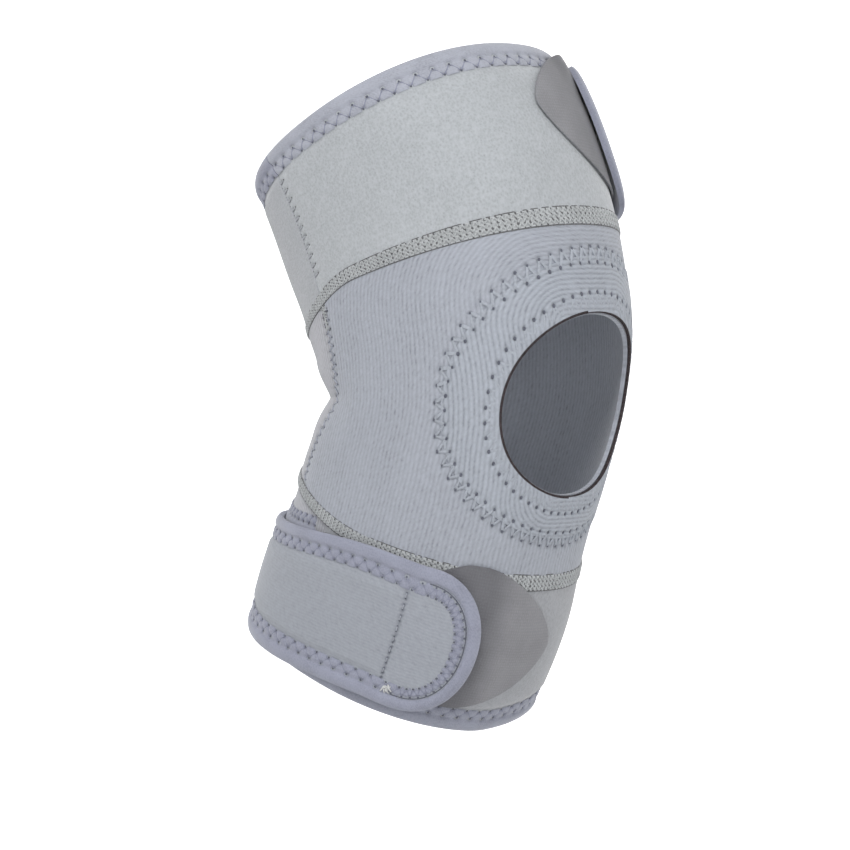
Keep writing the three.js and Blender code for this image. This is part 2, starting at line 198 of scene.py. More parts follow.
def calf_tail_top(around):
    return np.where(around < 104, lower_seam(around) - SEAM_GAP, calf_back_edge(around) - 1.2)


# %% [markdown]
# ## Tools for cutting and wrapping
# A grid primitive is the cloth on the table. It is pulled to the outline of its piece, gets a flat map in
# real metres so that its knit has the right size, and a wall by Solidify. Then each point is moved to the
# leg's form. Heights on the table become heights on the sleeve, so puckers are drawn on the flat piece.

# %% Cutting


def points_of(piece):
    flat = np.empty(len(piece.data.vertices) * 3)
    piece.data.vertices.foreach_get("co", flat)
    return flat.reshape(-1, 3)


def move_points(piece, points):
    piece.data.vertices.foreach_set("co", np.ascontiguousarray(points, float).ravel())
    piece.data.update()


def pick(*pieces):
    """Makes these pieces the only selected ones, and the first of them the active one."""
    bpy.ops.object.select_all(action="DESELECT")
    for piece in pieces:
        piece.select_set(True)
    bpy.context.view_layer.objects.active = pieces[0]


def new_piece(name, points, faces):
    """A piece from a list of points in metres and a list of faces."""
    mesh = bpy.data.meshes.new(name)
    mesh.from_pydata(points.tolist(), [], faces)
    piece = bpy.data.objects.new(name, mesh)
    bpy.context.collection.objects.link(piece)
    return piece


def copied_faces(faces, count, size):
    """The faces of count copies of a shape that has this many points."""
    return [tuple(v + k * size for v in face) for k in range(count) for face in faces]


def cut_grid(name, columns, rows, place):
    """A flat grid pulled to the outline that place(s, t) gives in millimetres, seen from outside."""
    bpy.ops.object.select_all(action="DESELECT")
    bpy.ops.mesh.primitive_grid_add(x_subdivisions=columns, y_subdivisions=rows, size=1)
    piece = bpy.context.object
    piece.name = piece.data.name = name
    shares = points_of(piece)[:, :2] + 0.5
    flat = np.stack(place(shares[:, 0], shares[:, 1]), 1)
    if flat.shape[1] == 2:
        flat = np.column_stack([flat, np.zeros(len(flat))])
    move_points(piece, flat * MM)
    return piece


def set_map(piece, u, v):
    """Writes the piece's flat map, in metres, from one value for each point."""
    layer = piece.data.uv_layers.active or piece.data.uv_layers.new()
    layer.name = "flat"
    corner = np.empty(len(piece.data.loops), int)
    piece.data.loops.foreach_get("vertex_index", corner)
    layer.data.foreach_set("uv", (np.stack([u, v], 1)[corner] * MM).ravel())


def apply_modifier(piece, kind, **settings):
    pick(piece)
    modifier = piece.modifiers.new(kind.title(), kind)
    for name, value in settings.items():
        setattr(modifier, name, value)
    bpy.ops.object.modifier_apply(modifier=modifier.name)


def give_wall(piece, outer, inner, lining=0, rim=0):
    """A wall between two heights, each a function of the flat place."""
    apply_modifier(piece, "SOLIDIFY", thickness=MM, offset=-1, material_offset=lining,
                   material_offset_rim=rim)
    p = points_of(piece) / MM
    p[:, 2] = np.where(p[:, 2] > -0.5, outer(p[:, 0], p[:, 1]), inner(p[:, 0], p[:, 1]))
    move_points(piece, p * MM)


# Painted shade: a value for each point that darkens its colour, in needle holes and beside a strap's end.
def write_painted_shade(piece, values):
    layer = piece.data.attributes.new("painted_shade", "FLOAT", "POINT")
    layer.data.foreach_set("value", np.ascontiguousarray(values, np.float32))


def mark_hole_shade(piece, holes, radius=0.8, face=-0.9):
    """Writes how near each point of the outer face is to a needle hole, for the painted shade in the holes.
    """
    p = points_of(piece) / MM
    write_painted_shade(piece, near_holes(p[:, 0], p[:, 1], holes, radius) * (p[:, 2] > face))


def wrap_on_leg(piece):
    p = points_of(piece) / MM
    move_points(piece, leg_point(p[:, 1], -p[:, 0] / MM_PER_DEGREE, p[:, 2]))


def finish_piece(piece, slot, *materials, node=None, crease=40):
    for material in materials:
        piece.data.materials.append(material)
    pick(piece)
    bpy.ops.object.shade_smooth_by_angle(angle=math.radians(crease))
    if node:
        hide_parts(node)
    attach(piece, "root")
    piece.data.calc_loop_triangles()
    print(f"{piece.name}: {len(piece.data.loop_triangles)} triangles")


# %% [markdown]
# ## Paths
# Tapes, seams and stitches all follow a line on the cloth. A path keeps its places at even steps, and the
# way to its left, which is kept as the way out of the cloth.

# %% Paths along the cloth


class Path:
    def __init__(self, x, y, step=0.8):
        x, y = np.asarray(x, float), np.asarray(y, float)
        run = np.concatenate([[0], np.cumsum(np.hypot(np.diff(x), np.diff(y)))])
        count = max(int(run[-1] / step), 2)
        self.length = run[-1]
        self.at = np.linspace(0, run[-1], count + 1)
        self.x, self.y = np.interp(self.at, run, x), np.interp(self.at, run, y)
        dx, dy = np.gradient(self.x), np.gradient(self.y)
        kernel = np.ones(5) / 5
        dx, dy = (np.convolve(np.pad(d, 2, mode="edge"), kernel, "valid") for d in (dx, dy))
        size = np.hypot(dx, dy)
        self.nx, self.ny = -dy / size, dx / size

    def place(self, at, off):
        """Flat places at a distance along the path and off to its left."""
        x, y, nx, ny = (np.interp(at, self.at, v) for v in (self.x, self.y, self.nx, self.ny))
        return x + nx * off, y + ny * off


def zigzag_holes(path, near, far, pitch, start=0.0, end=0.0):
    """Needle holes of a zigzag along a path, by turns at two distances from it."""
    count = int((path.length - start - end) / (pitch / 2))
    at = start + np.arange(count) * pitch / 2
    off = np.where(np.arange(count) % 2 == 0, near, far)
    return np.stack(path.place(at, off), 1)


def near_holes(x, y, holes, radius):
    """How near each place is to a needle hole, from 0 to 1."""
    total = np.zeros(len(x))
    for part in np.array_split(np.arange(len(x)), max(len(x) // 4000, 1)):
        gap2 = (x[part, None] - holes[:, 0]) ** 2 + (y[part, None] - holes[:, 1]) ** 2
        total[part] = np.exp(-gap2.min(1) / radius**2)
    return total


def near_threads(x, y, starts, ends, radius):
    """How near each place is to a thread that pulls the cloth down."""
    total = np.zeros(len(x))
    way = ends - starts
    size2 = (way**2).sum(1)
    for part in np.array_split(np.arange(len(x)), max(len(x) // 3000, 1)):
        dx, dy = x[part, None] - starts[:, 0], y[part, None] - starts[:, 1]
        t = np.clip((dx * way[:, 0] + dy * way[:, 1]) / size2, 0, 1)
        gap2 = (dx - t * way[:, 0]) ** 2 + (dy - t * way[:, 1]) ** 2
        total[part] = np.exp(-gap2.min(1) / radius**2)
    return total


def pulled_in(x, y, holes, hole_depth=0.8, hole_radius=0.75, line_depth=0.3, line_radius=0.75):
    """How far a zigzag pulls the cloth in: deepest at the needle holes, less along its threads."""
    dents = near_holes(x, y, holes, hole_radius) * hole_depth
    return dents + near_threads(x, y, holes[:-1], holes[1:], line_radius) * line_depth


# %% [markdown]
# ## One stitch
# A stitch is a short thread that comes up through one needle hole and goes down through the next. It is
# modelled once: a small circle is extruded in five steps. Every seam is made of copies of it.

# %% The stitch that is copied
bpy.ops.mesh.primitive_circle_add(vertices=5, radius=1, fill_type="NGON", rotation=(0, math.pi / 2, 0))
stitch = bpy.context.object
stitch.name = "stitch"
bpy.ops.object.transform_apply(location=True, rotation=True, scale=True)
bpy.ops.object.mode_set(mode="EDIT")
bpy.ops.mesh.select_all(action="SELECT")
STITCH_STEPS = 5
for _ in range(STITCH_STEPS):
    bpy.ops.mesh.extrude_region_move(TRANSFORM_OT_translate={"value": (1 / STITCH_STEPS, 0, 0)})
bpy.ops.mesh.select_all(action="SELECT")
bpy.ops.mesh.normals_make_consistent(inside=False)
bpy.ops.object.mode_set(mode="OBJECT")
STITCH_POINTS = points_of(stitch)
STITCH_FACES = [tuple(f.vertices) for f in stitch.data.polygons]
bpy.data.objects.remove(stitch, do_unlink=True)
print("points in a stitch:", len(STITCH_POINTS))


def sew(name, starts, ends, height, radius, arch, material, slot, sink=0.35):
    """Threads between needle holes on the flat cloth, wrapped on the leg as one piece."""
    starts, ends = np.asarray(starts, float), np.asarray(ends, float)
    count = len(starts)
    height = np.broadcast_to(np.asarray(height, float), count)
    way = ends - starts
    size = np.maximum(np.hypot(*way.T), 1e-6)
    side = np.stack([-way[:, 1], way[:, 0]], 1) / size[:, None]
    t, ring_y, ring_z = STITCH_POINTS.T
    thick = radius * (1 + 0.12 * np.sin(6 * t))
    flat = starts[:, None] + way[:, None] * t[None, :, None] + side[:, None] * (ring_y * thick)[None, :, None]
    bow = arch * 4 * t * (1 - t) - sink * (2 * t - 1) ** 6
    z = height[:, None] + (bow + ring_z * thick)[None, :]
    points = np.concatenate([flat, z[:, :, None]], 2).reshape(-1, 3) * MM
    piece = new_piece(name, points, copied_faces(STITCH_FACES, count, len(STITCH_POINTS)))
    wrap_on_leg(piece)
    pick(piece)
    bpy.ops.object.mode_set(mode="EDIT")
    bpy.ops.mesh.select_all(action="SELECT")
    bpy.ops.mesh.normals_make_consistent(inside=False)
    bpy.ops.object.mode_set(mode="OBJECT")
    finish_piece(piece, slot, material, crease=70)


# %% [markdown]
# ## One needle hole
# A thread that is pulled tight opens a small pit, and the shade in it is painted: one dark flattened ball is
# modelled and copied into the pits, so that they stay crisp where the cloth's own mesh is too coarse for
# them.

# %% The pit that is copied
bpy.ops.object.select_all(action="DESELECT")
bpy.ops.mesh.primitive_ico_sphere_add(subdivisions=2, radius=1)
pit = bpy.context.object
bpy.ops.transform.resize(value=(1, 1, 0.35), center_override=(0, 0, 0))
bpy.ops.object.transform_apply(location=True, rotation=True, scale=True)
PIT_POINTS = points_of(pit)
PIT_FACES = [tuple(f.vertices) for f in pit.data.polygons]
bpy.data.objects.remove(pit, do_unlink=True)
print("points in a pit:", len(PIT_POINTS))


def pierce(name, holes, height, radius, slot, material=None):
    """Dark pits of painted shade at needle holes on the flat cloth, wrapped on the leg as one piece."""
    count = len(holes)
    height, radius = (np.broadcast_to(np.asarray(v, float), count) for v in (height, radius))
    centres = np.column_stack([holes, height])
    points = (centres[:, None] + PIT_POINTS[None] * radius[:, None, None]).reshape(-1, 3) * MM
    piece = new_piece(name, points, copied_faces(PIT_FACES, count, len(PIT_POINTS)))
    wrap_on_leg(piece)
    finish_piece(piece, slot, material or hole_and_groove_shade, crease=70)


# %% [markdown]
# ## Materials
# Cloth has no gloss, but its fibres catch light at grazing angles, which is what sheen is for. Each knit is
# drawn from the flat map: waves give the ribs, a slower wobble bends them, and noise breaks them up. The
# same pattern drives the colour and the bump, so a groove is both darker and lower, as on the real cloth.

# %% Helpers for node trees


# The colour of painted shade, multiplied in where a piece marks shade: needle holes and beside a strap's end.
DENT_SHADE = (90, 92, 104)


class Nodes:
    """A short way to write a node tree. Every value is a socket or a number."""

    def __init__(self, name):
        self.material = bpy.data.materials.new(name)
        self.material.use_nodes = True
        self.tree = self.material.node_tree
        self.shader = self.tree.nodes["Principled BSDF"]

    def set(self, socket, value):
        if isinstance(value, bpy.types.NodeSocket):
            self.tree.links.new(value, socket)
        else:
            socket.default_value = value

    def math(self, kind, a, b=0.0):
        node = self.tree.nodes.new("ShaderNodeMath")
        node.operation = kind
        self.set(node.inputs[0], a)
        self.set(node.inputs[1], b)
        return node.outputs[0]

    def add(self, a, b):
        return self.math("ADD", a, b)

    def times(self, a, b):
        return self.math("MULTIPLY", a, b)

    def wave(self, place, pitch, shift=0.0):
        """A wave from 0 to 1 that repeats every pitch metres."""
        turn = self.add(self.times(place, 2 * math.pi / pitch), shift)
        return self.add(self.times(self.math("SINE", turn), 0.5), 0.5)

    def flat(self):
        node = self.tree.nodes.new("ShaderNodeUVMap")
        node.uv_map = "flat"
        parts = self.tree.nodes.new("ShaderNodeSeparateXYZ")
        self.tree.links.new(node.outputs[0], parts.inputs[0])
        return node.outputs[0], parts.outputs[0], parts.outputs[1]

    def object(self):
        node = self.tree.nodes.new("ShaderNodeTexCoord")
        return node.outputs["Object"]

    def slant(self, place, turn, long):
        """Turns a place first and then makes its pattern longer one way."""
        node = self.tree.nodes.new("ShaderNodeMapping")
        node.vector_type = "TEXTURE"
        self.tree.links.new(place, node.inputs["Vector"])
        node.inputs["Rotation"].default_value = (0, 0, turn)
        node.inputs["Scale"].default_value = (1, long, 1)
        return node.outputs[0]

    def stretch(self, place, x, y, z=1.0):
        node = self.tree.nodes.new("ShaderNodeMapping")
        self.tree.links.new(place, node.inputs["Vector"])
        node.inputs["Scale"].default_value = (x, y, z)
        return node.outputs[0]

    def noise(self, place, size, detail=2.0, rough=0.5):
        node = self.tree.nodes.new("ShaderNodeTexNoise")
        self.tree.links.new(place, node.inputs["Vector"])
        node.inputs["Scale"].default_value = 1 / size
        node.inputs["Detail"].default_value = detail
        node.inputs["Roughness"].default_value = rough
        return node.outputs[0]

    def cells(self, place, size, randomness=1.0):
        node = self.tree.nodes.new("ShaderNodeTexVoronoi")
        self.tree.links.new(place, node.inputs["Vector"])
        node.inputs["Scale"].default_value = 1 / size
        node.inputs["Randomness"].default_value = randomness
        return node.outputs["Distance"]

    def ramp(self, value, *stops):
        node = self.tree.nodes.new("ShaderNodeValToRGB")
        self.set(node.inputs[0], value)
        while len(node.color_ramp.elements) < len(stops):
            node.color_ramp.elements.new(0.5)
        for element, (at, color) in zip(node.color_ramp.elements, stops):
            element.position = at
            element.color = (*color, 1)
        return node.outputs[0]

    def shaded(self, color, depth=0.75):
        """Paints shade into a colour where the piece marks it: in the needle holes, and beside a strap's end.
        """
        painted_shade = self.tree.nodes.new("ShaderNodeAttribute")
        painted_shade.attribute_name = "painted_shade"
        blend = self.tree.nodes.new("ShaderNodeMix")
        blend.data_type = "RGBA"
        blend.blend_type = "MULTIPLY"
        self.tree.links.new(self.times(painted_shade.outputs["Fac"], depth), blend.inputs[0])
        self.tree.links.new(color, blend.inputs[6])
        blend.inputs[7].default_value = (*paint(*DENT_SHADE), 1)
        return blend.outputs[2]

    def finish(self, color, height, deep, rough, sheen, strength=1.0):
        self.set(self.shader.inputs["Base Color"], self.shaded(color))
        self.shader.inputs["Roughness"].default_value = rough
        self.shader.inputs["Sheen Weight"].default_value = sheen
        self.shader.inputs["Sheen Roughness"].default_value = 0.5
        self.shader.inputs["Specular IOR Level"].default_value = 0.2
        bump = self.tree.nodes.new("ShaderNodeBump")
        bump.inputs["Distance"].default_value = deep * MM
        bump.inputs["Strength"].default_value = strength
        self.tree.links.new(height, bump.inputs["Height"])
        self.tree.links.new(bump.outputs[0], self.shader.inputs["Normal"])
        return self.material


def paint(red, green, blue):
    """Screen colour, 0 to 255, as the linear values that Blender works in."""
    s = np.array([red, green, blue]) / 255
    return tuple(np.where(s <= 0.04045, s / 12.92, ((s + 0.055) / 1.055) ** 2.4))


def shades(red, green, blue, dark, light):
    """Dark, middle and light of one cloth colour."""
    base = np.array([red, green, blue])
    return paint(*(base * dark)), paint(*base), paint(*np.minimum(base * light, 255))


# %% [markdown]
# ### Ribbed jersey
# The knee panel, the pad and the straps have a fine rib knit. A rib is a row of small loops, so it looks
# beaded. The beads of one rib lie between the beads of the next, which is a shift of half a loop.

# %% Jersey


def ribbed_jersey(name, base, rib, wobble, deep, dark=0.84, light=1.08, ribs_share=0.5, sheen=0.25):
    n = Nodes(name)
    flat, u, v = n.flat()
    bend = n.times(n.add(n.noise(flat, 0.011, 2), -0.5), wobble * MM)
    across = n.add(u, bend)
    ribs = n.wave(across, rib * MM)
    number = n.math("FLOOR", n.times(across, 1 / (rib * MM)))
    bead = n.wave(v, 0.0016, n.times(number, math.pi))
    flecks = n.noise(n.slant(flat, 0.6, 2.0), 0.0014, 2, 0.6)
    fibres = n.noise(flat, 0.0006, 3, 0.7)
    loops = n.times(ribs, n.add(n.times(bead, 0.25), 0.75))
    rough = n.add(n.times(n.add(flecks, -0.15), 1.4), n.times(fibres, 0.7))
    height = n.add(n.times(loops, ribs_share), n.times(rough, 1 - ribs_share))
    patches = n.noise(n.stretch(flat, 1, 0.5), 0.022, 3)
    low, middle, high = shades(*base, dark, light)
    tone = n.add(n.times(height, 0.75), n.times(patches, 0.3))
    color = n.ramp(tone, (0.25, low), (0.54, middle), (0.9, high))
    return n.finish(color, height, deep, 0.85, sheen)


panel_jersey = ribbed_jersey("panel_jersey", (158, 162, 171), 1.95, 1.6, 0.26, 0.76, 1.1, 0.36)
ring_jersey = ribbed_jersey("ring_jersey", (159, 164, 173), 1.95, 1.0, 0.28, 0.74, 1.1, 0.46)
strap_jersey = ribbed_jersey("strap_jersey", (152, 156, 164), 1.25, 1.4, 0.12, 0.88, 1.06, 0.22)
back_knit = ribbed_jersey("back_knit", (170, 171, 177), 1.7, 0.8, 0.2, 0.82, 1.08)
lining = ribbed_jersey("lining_jersey", (178, 180, 187), 1.5, 0.5, 0.16, 0.84, 1.08)

# %% [markdown]
# ### Loop pile
# The thigh and calf bands have a brushed loop face that the hook tabs grip. Short loops stand in all
# directions, so its pattern is small cells with noise, and it has more sheen than the jersey.

# %% Loop pile


def loop_pile(name, base, dark=0.87, light=1.08, deep=0.16):
    n = Nodes(name)
    flat, _, _ = n.flat()
    curls = n.cells(n.stretch(flat, 1, 0.8), 0.0009)
    tufts = n.noise(flat, 0.0007, 3, 0.75)
    brushed = n.noise(n.stretch(flat, 0.35, 1), 0.004, 3)
    patches = n.noise(flat, 0.03, 3)
    height = n.add(n.add(n.times(curls, 0.45), n.times(tufts, 0.85)), n.times(brushed, 0.15))
    low, middle, high = shades(*base, dark, light)
    tone = n.add(n.times(height, 0.6), n.times(patches, 0.2))
    color = n.ramp(tone, (0.3, low), (0.56, middle), (0.84, high))
    return n.finish(color, height, deep, 0.95, 0.4)


# The calf band takes a darker copy of the same pile, as painted shade.
thigh_pile = loop_pile("thigh_loop_pile", (176, 180, 184))
calf_pile_shaded = loop_pile("calf_loop_pile_shaded", (160, 162, 167))
strap_pile = loop_pile("strap_loop_pile", (166, 169, 174))

# %% [markdown]
# ### Tape, hooks, thread and the cut edge
# The binding is a soft woven tape with a faint twill. The hook tabs are moulded hooks on a smooth grey
# ground, so fine that they read as dots, and their rims carry a painted highlight. The cut edge of the foam
# is dark, and its colour also paints the shadow in the gap at the hole's edge. The needle holes get painted
# shade.

# %% Tape, hook cloth, thread and foam


def woven_tape(name, base, deep=0.1):
    n = Nodes(name)
    flat, u, v = n.flat()
    twill = n.wave(n.add(u, v), 0.0011)
    fuzz = n.noise(flat, 0.0008, 3, 0.6)
    patches = n.noise(flat, 0.012, 3)
    height = n.add(n.times(twill, 0.08), n.times(fuzz, 0.92))
    low, middle, high = shades(*base, 0.86, 1.08)
    tone = n.add(n.times(height, 0.6), n.times(patches, 0.4))
    color = n.ramp(tone, (0.25, low), (0.5, middle), (0.78, high))
    return n.finish(color, height, deep, 0.85, 0.35)


def hook_cloth(name, base):
    n = Nodes(name)
    flat, u, v = n.flat()
    dots = n.times(n.wave(u, 0.0011), n.wave(v, 0.0011))
    smear = n.noise(flat, 0.01, 3)
    fine = n.noise(flat, 0.0008, 2)
    height = n.add(n.times(dots, 0.3), n.times(fine, 0.7))
    low, middle, high = shades(*base, 0.9, 1.08)
    tone = n.add(n.times(height, 0.6), n.times(smear, 0.45))
    color = n.ramp(tone, (0.2, low), (0.5, middle), (0.8, high))
    return n.finish(color, height, 0.08, 0.6, 0.1)


def spun_thread(name, base, dark=0.85, light=1.12):
    n = Nodes(name)
    place = n.object()
    strands = n.noise(place, 0.0009, 2)
    patches = n.noise(place, 0.008, 2)
    low, middle, high = shades(*base, dark, light)
    tone = n.add(n.times(strands, 0.6), n.times(patches, 0.4))
    color = n.ramp(tone, (0.3, low), (0.5, middle), (0.72, high))
    return n.finish(color, strands, 0.08, 0.8, 0.2)


def cut_foam(name, base):
    n = Nodes(name)
    place = n.object()
    pores = n.cells(place, 0.0006)
    low, middle, high = shades(*base, 0.6, 1.3)
    color = n.ramp(pores, (0.1, low), (0.4, middle), (0.9, high))
    return n.finish(color, pores, 0.1, 0.9, 0.0)


# The calf rims take a darker copy of the same tape, as painted shade.
thigh_rim_tape = woven_tape("thigh_rim_tape", (166, 169, 180))
calf_rim_tape_shaded = woven_tape("calf_rim_tape_shaded", (149, 152, 166))
strap_tape = woven_tape("strap_tape", (149, 152, 168))
hook_face = hook_cloth("hook_face", (140, 140, 144))
# Painted highlight: the tab's rim is much paler than its face, standing in for light along its edge.
tab_rim_highlight = spun_thread("tab_rim_highlight", (212, 213, 216), 0.9, 1.05)
seam_thread = spun_thread("seam_thread", (183, 186, 188), 0.9, 1.06)
cloth_thread = spun_thread("cloth_thread", (162, 166, 177))
pad_thread = spun_thread("pad_thread", (168, 173, 182), 0.9, 1.06)
tape_thread = spun_thread("tape_thread", (140, 143, 160), 0.9, 1.06)
# Painted shade: a dark colour for the flatlock's needle holes and the lines along its edges, and the side
# seams' pits.
seam_shade = spun_thread("seam_shade", (106, 107, 108))
thigh_thread = spun_thread("thigh_thread", (180, 183, 188), 0.9, 1.06)
# Painted shade: a dark colour for the pits at needle holes and for the groove behind a tape's roll.
hole_and_groove_shade = spun_thread("hole_and_groove_shade", (100, 103, 114))
pale_thread = spun_thread("pale_thread", (205, 206, 206))
seam_bed = loop_pile("seam_bed", (172, 175, 177), 0.82, 1.06)
# Dark foam of the cut edge; the same colour paints the shadow in the gap at the hole's edge.
foam_and_gap_shade = cut_foam("foam_and_gap_shade", (58, 52, 54))
print("materials:", len(bpy.data.materials))

# %% [markdown]
# ## Side seams
# The front and back pieces meet in a seam down each side. Beside the knee a narrow zigzag joins them, and
# on the thigh a row of slanted dashes. Each needle hole pulls the padding in. The holes are placed first,
# because both neighbours and the threads use them.

# %% Needle holes of the side seams


def side_path(side, low, high):
    """The line of a side seam, heading up on the left side and down on the right."""
    along = np.linspace(low, high, 300)
    x = -side * side_seam(along) * MM_PER_DEGREE
    return Path(x, along)


SIDE_HALF = 1.7
SIDE_PITCH = 4.2
DASH_HALF = 2.8
DASH_SLANT = 1.3
ONE_TURN = 360 * MM_PER_DEGREE
side_zigzags, side_dashes = {}, {}
for side, word in ((1, "left"), (-1, "right")):
    knee = side_path(side, lower_seam(SIDE_LOW) + 4, UPPER_SEAM - 5)
    side_zigzags[word] = zigzag_holes(knee, -SIDE_HALF, SIDE_HALF, SIDE_PITCH)
    thigh = side_path(side, UPPER_SEAM + 6, TOP_RIM - TAPE_WIDTH - 2)
    at = np.arange(0, thigh.length - 1, SIDE_PITCH)
    lower = np.stack(thigh.place(at, DASH_HALF * side), 1)
    upper = np.stack(thigh.place(at + DASH_SLANT, -DASH_HALF * side), 1)
    side_dashes[word] = (lower, upper)
print("stitches down each side:", {k: len(v) for k, v in side_zigzags.items()})


def copies_round(points):
    """The right side also holds at the back of the table, one turn away."""
    return [points + np.array([shift, 0]) for shift in (0, ONE_TURN, -ONE_TURN)]


def side_pull(x, y):
    """How far both side seams pull the cloth in."""
    pull = np.zeros(len(x))
    for word in ("left", "right"):
        for holes in copies_round(side_zigzags[word]):
            near = (x > holes[:, 0].min() - 8) & (x < holes[:, 0].max() + 8)
            if near.any():
                pull[near] += pulled_in(x[near], y[near], holes, 0.4, 0.8, 0.25, 0.8)
        for lower, upper in zip(*(copies_round(p) for p in side_dashes[word])):
            near = (x > lower[:, 0].min() - 8) & (x < lower[:, 0].max() + 8)
            if near.any():
                pull[near] += 0.6 * near_threads(x[near], y[near], lower, upper, 0.75)
        for holes in copies_round(np.vstack([side_zigzags[word], *side_dashes[word]])):
            near = np.abs(x - holes[:, 0].mean()) < 30
            order = np.argsort(holes[:, 1])
            seam = np.interp(y[near], holes[order, 1], holes[order, 0])
            pull[near] += 0.3 * np.exp(-((x[near] - seam) / 4.0) ** 2)
    return pull


side_marks = np.vstack([
    copy for word in ("left", "right")
    for marks in (side_zigzags[word], mix(*side_dashes[word], 0.3), mix(*side_dashes[word], 0.7))
    for copy in copies_round(marks)])

# %% [markdown]
# ## Thigh band
# The band is one sheet of padded loop cloth from the left seam to a tail that the strap covers. Its top
# rim is squeezed flat by the tape that is folded over it.

# %% Cut and wrap the thigh band


def rim_press(distance):
    """How far the cloth is pressed in, by its distance from a bound rim."""
    return SQUEEZE * smooth((TAPE_WIDTH + GAP + SQUEEZE_RUN - distance) / SQUEEZE_RUN)


def ripple(x, y, size, seed):
    """A slow uneven swell of the cloth, the same for the same seed."""
    waves = np.random.default_rng(seed)
    total = np.zeros(len(x))
    for _ in range(6):
        a, b = waves.normal(size=2) / size
        total += np.sin(a * x + b * y + waves.uniform(0, 2 * math.pi))
    return total / 6


def place_thigh_band(s, t):
    angle = mix(THIGH_TAIL, SIDE_MIDDLE, s)
    along = mix(upper_seam(angle) + SEAM_GAP, TOP_RIM, t)
    around = mix(THIGH_TAIL, side_seam(along) - STRAP_SEAM_GAP, s)
    return -around * MM_PER_DEGREE, mix(upper_seam(around) + SEAM_GAP, TOP_RIM, t)


def flip(place):
    """Turns a grid's s round, so that the grid's x rises with the table's x."""
    return lambda s, t: place(1 - s, t)


def thigh_outer(x, y):
    return -rim_press(TOP_RIM - y) - side_pull(x, y) + 0.12 * ripple(x, y, 9, 3)


thigh_band = cut_grid("thigh_band_cloth", 270, 62, flip(place_thigh_band))
p = points_of(thigh_band) / MM
set_map(thigh_band, p[:, 0], p[:, 1])
give_wall(thigh_band, thigh_outer, lambda x, y: -WALL + rim_press(TOP_RIM - y), lining=1)
mark_hole_shade(thigh_band, side_marks, 0.75)
wrap_on_leg(thigh_band)
finish_piece(thigh_band, "loop_cloth", thigh_pile, lining, node="thigh_band")

# %% [markdown]
# ## Calf band
# The calf band is the same cloth below the knee, coloured a little darker as painted shade.

# %% Cut and wrap the calf band


def place_calf_band(s, t):
    around = mix(-SIDE_LOW + SEAM_GAP, CALF_TAIL, s)
    return -around * MM_PER_DEGREE, mix(bottom_rim(around), calf_tail_top(around), t)


def calf_outer(x, y):
    rim = bottom_rim(-x / MM_PER_DEGREE)
    return -rim_press(y - rim) + 0.12 * ripple(x, y, 9, 5)


calf_band = cut_grid("calf_band_cloth", 282, 60, flip(place_calf_band))
p = points_of(calf_band) / MM
set_map(calf_band, p[:, 0], p[:, 1])
give_wall(calf_band, calf_outer, lambda x, y: -WALL + rim_press(y - bottom_rim(-x / MM_PER_DEGREE)),
          lining=1)
wrap_on_leg(calf_band)
finish_piece(calf_band, "calf_loop_cloth", calf_pile_shaded, lining, node="calf_band")

# %% [markdown]
# ## Knee panel and the pad round the kneecap
# The panel is cut from three grids: a frame that runs in rings from the kneecap hole to a box round it,
# and a plain grid on each side. They are joined before they get their wall. The pad is a ring of the same
# jersey that lies in a shallow bed on the panel, sewn down by a wide zigzag on its outer edge and by a
# second row near the hole.

# %% Rays from the hole to the box round it
FRAME_HALF = 72.0
frame_levels = np.linspace(-45, 44, 82)


def ellipse_place(ring, turn):
    x = -ring["around"] * np.cos(turn) * MM_PER_DEGREE
    return x, ring["middle"] + ring["along"] * np.sin(turn)


def box_edge():
    """Places on the box round the pad, anticlockwise on the table from its lower left corner."""
    across = np.linspace(-FRAME_HALF, FRAME_HALF, 138)
    low = np.stack([-across[::-1] * MM_PER_DEGREE, lower_seam(across[::-1]) + SEAM_GAP], 1)
    high = np.stack([-across * MM_PER_DEGREE, upper_seam(across) - SEAM_GAP], 1)
    side = FRAME_HALF * MM_PER_DEGREE
    right = np.stack([np.full(82, side), frame_levels], 1)
    left = np.stack([np.full(82, -side), frame_levels[::-1]], 1)
    return np.concatenate([low, right, high, left])


edge = box_edge()
turns = np.arctan2(edge[:, 1] / UPPER_SEAM, -edge[:, 0] / (FRAME_HALF * MM_PER_DEGREE))
on_hole = np.stack(ellipse_place(HOLE, turns), 1)
on_pad = np.stack(ellipse_place(PAD, turns), 1)
# Shares from the hole to the pad's edge, then on to the box, closer together near the pad's edge
BED_ROWS = [0.0, 0.06, 0.5, 0.8, 0.9, 1.0]
OUT_ROWS = np.linspace(0, 1, 23)[1:] ** 1.25
rows = [mix(on_hole, on_pad, part) for part in BED_ROWS]
rows += [mix(on_pad, edge, part) for part in OUT_ROWS]
print("rays round the hole:", len(edge), "rows:", len(rows))

# %% Join the three grids of the panel


def grid_mesh(name, table, closed=False):
    """A mesh from a table of flat places. Rows run outwards, columns anticlockwise."""
    columns, count = len(table[0]), len(table)
    flat = np.concatenate(table)
    last = columns if closed else columns - 1
    faces = []
    for j in range(count - 1):
        for i in range(last):
            k = (i + 1) % columns
            faces.append((j * columns + i, (j + 1) * columns + i, (j + 1) * columns + k, j * columns + k))
    return new_piece(name, np.column_stack([flat, np.zeros(len(flat))]).dot(MM), faces)


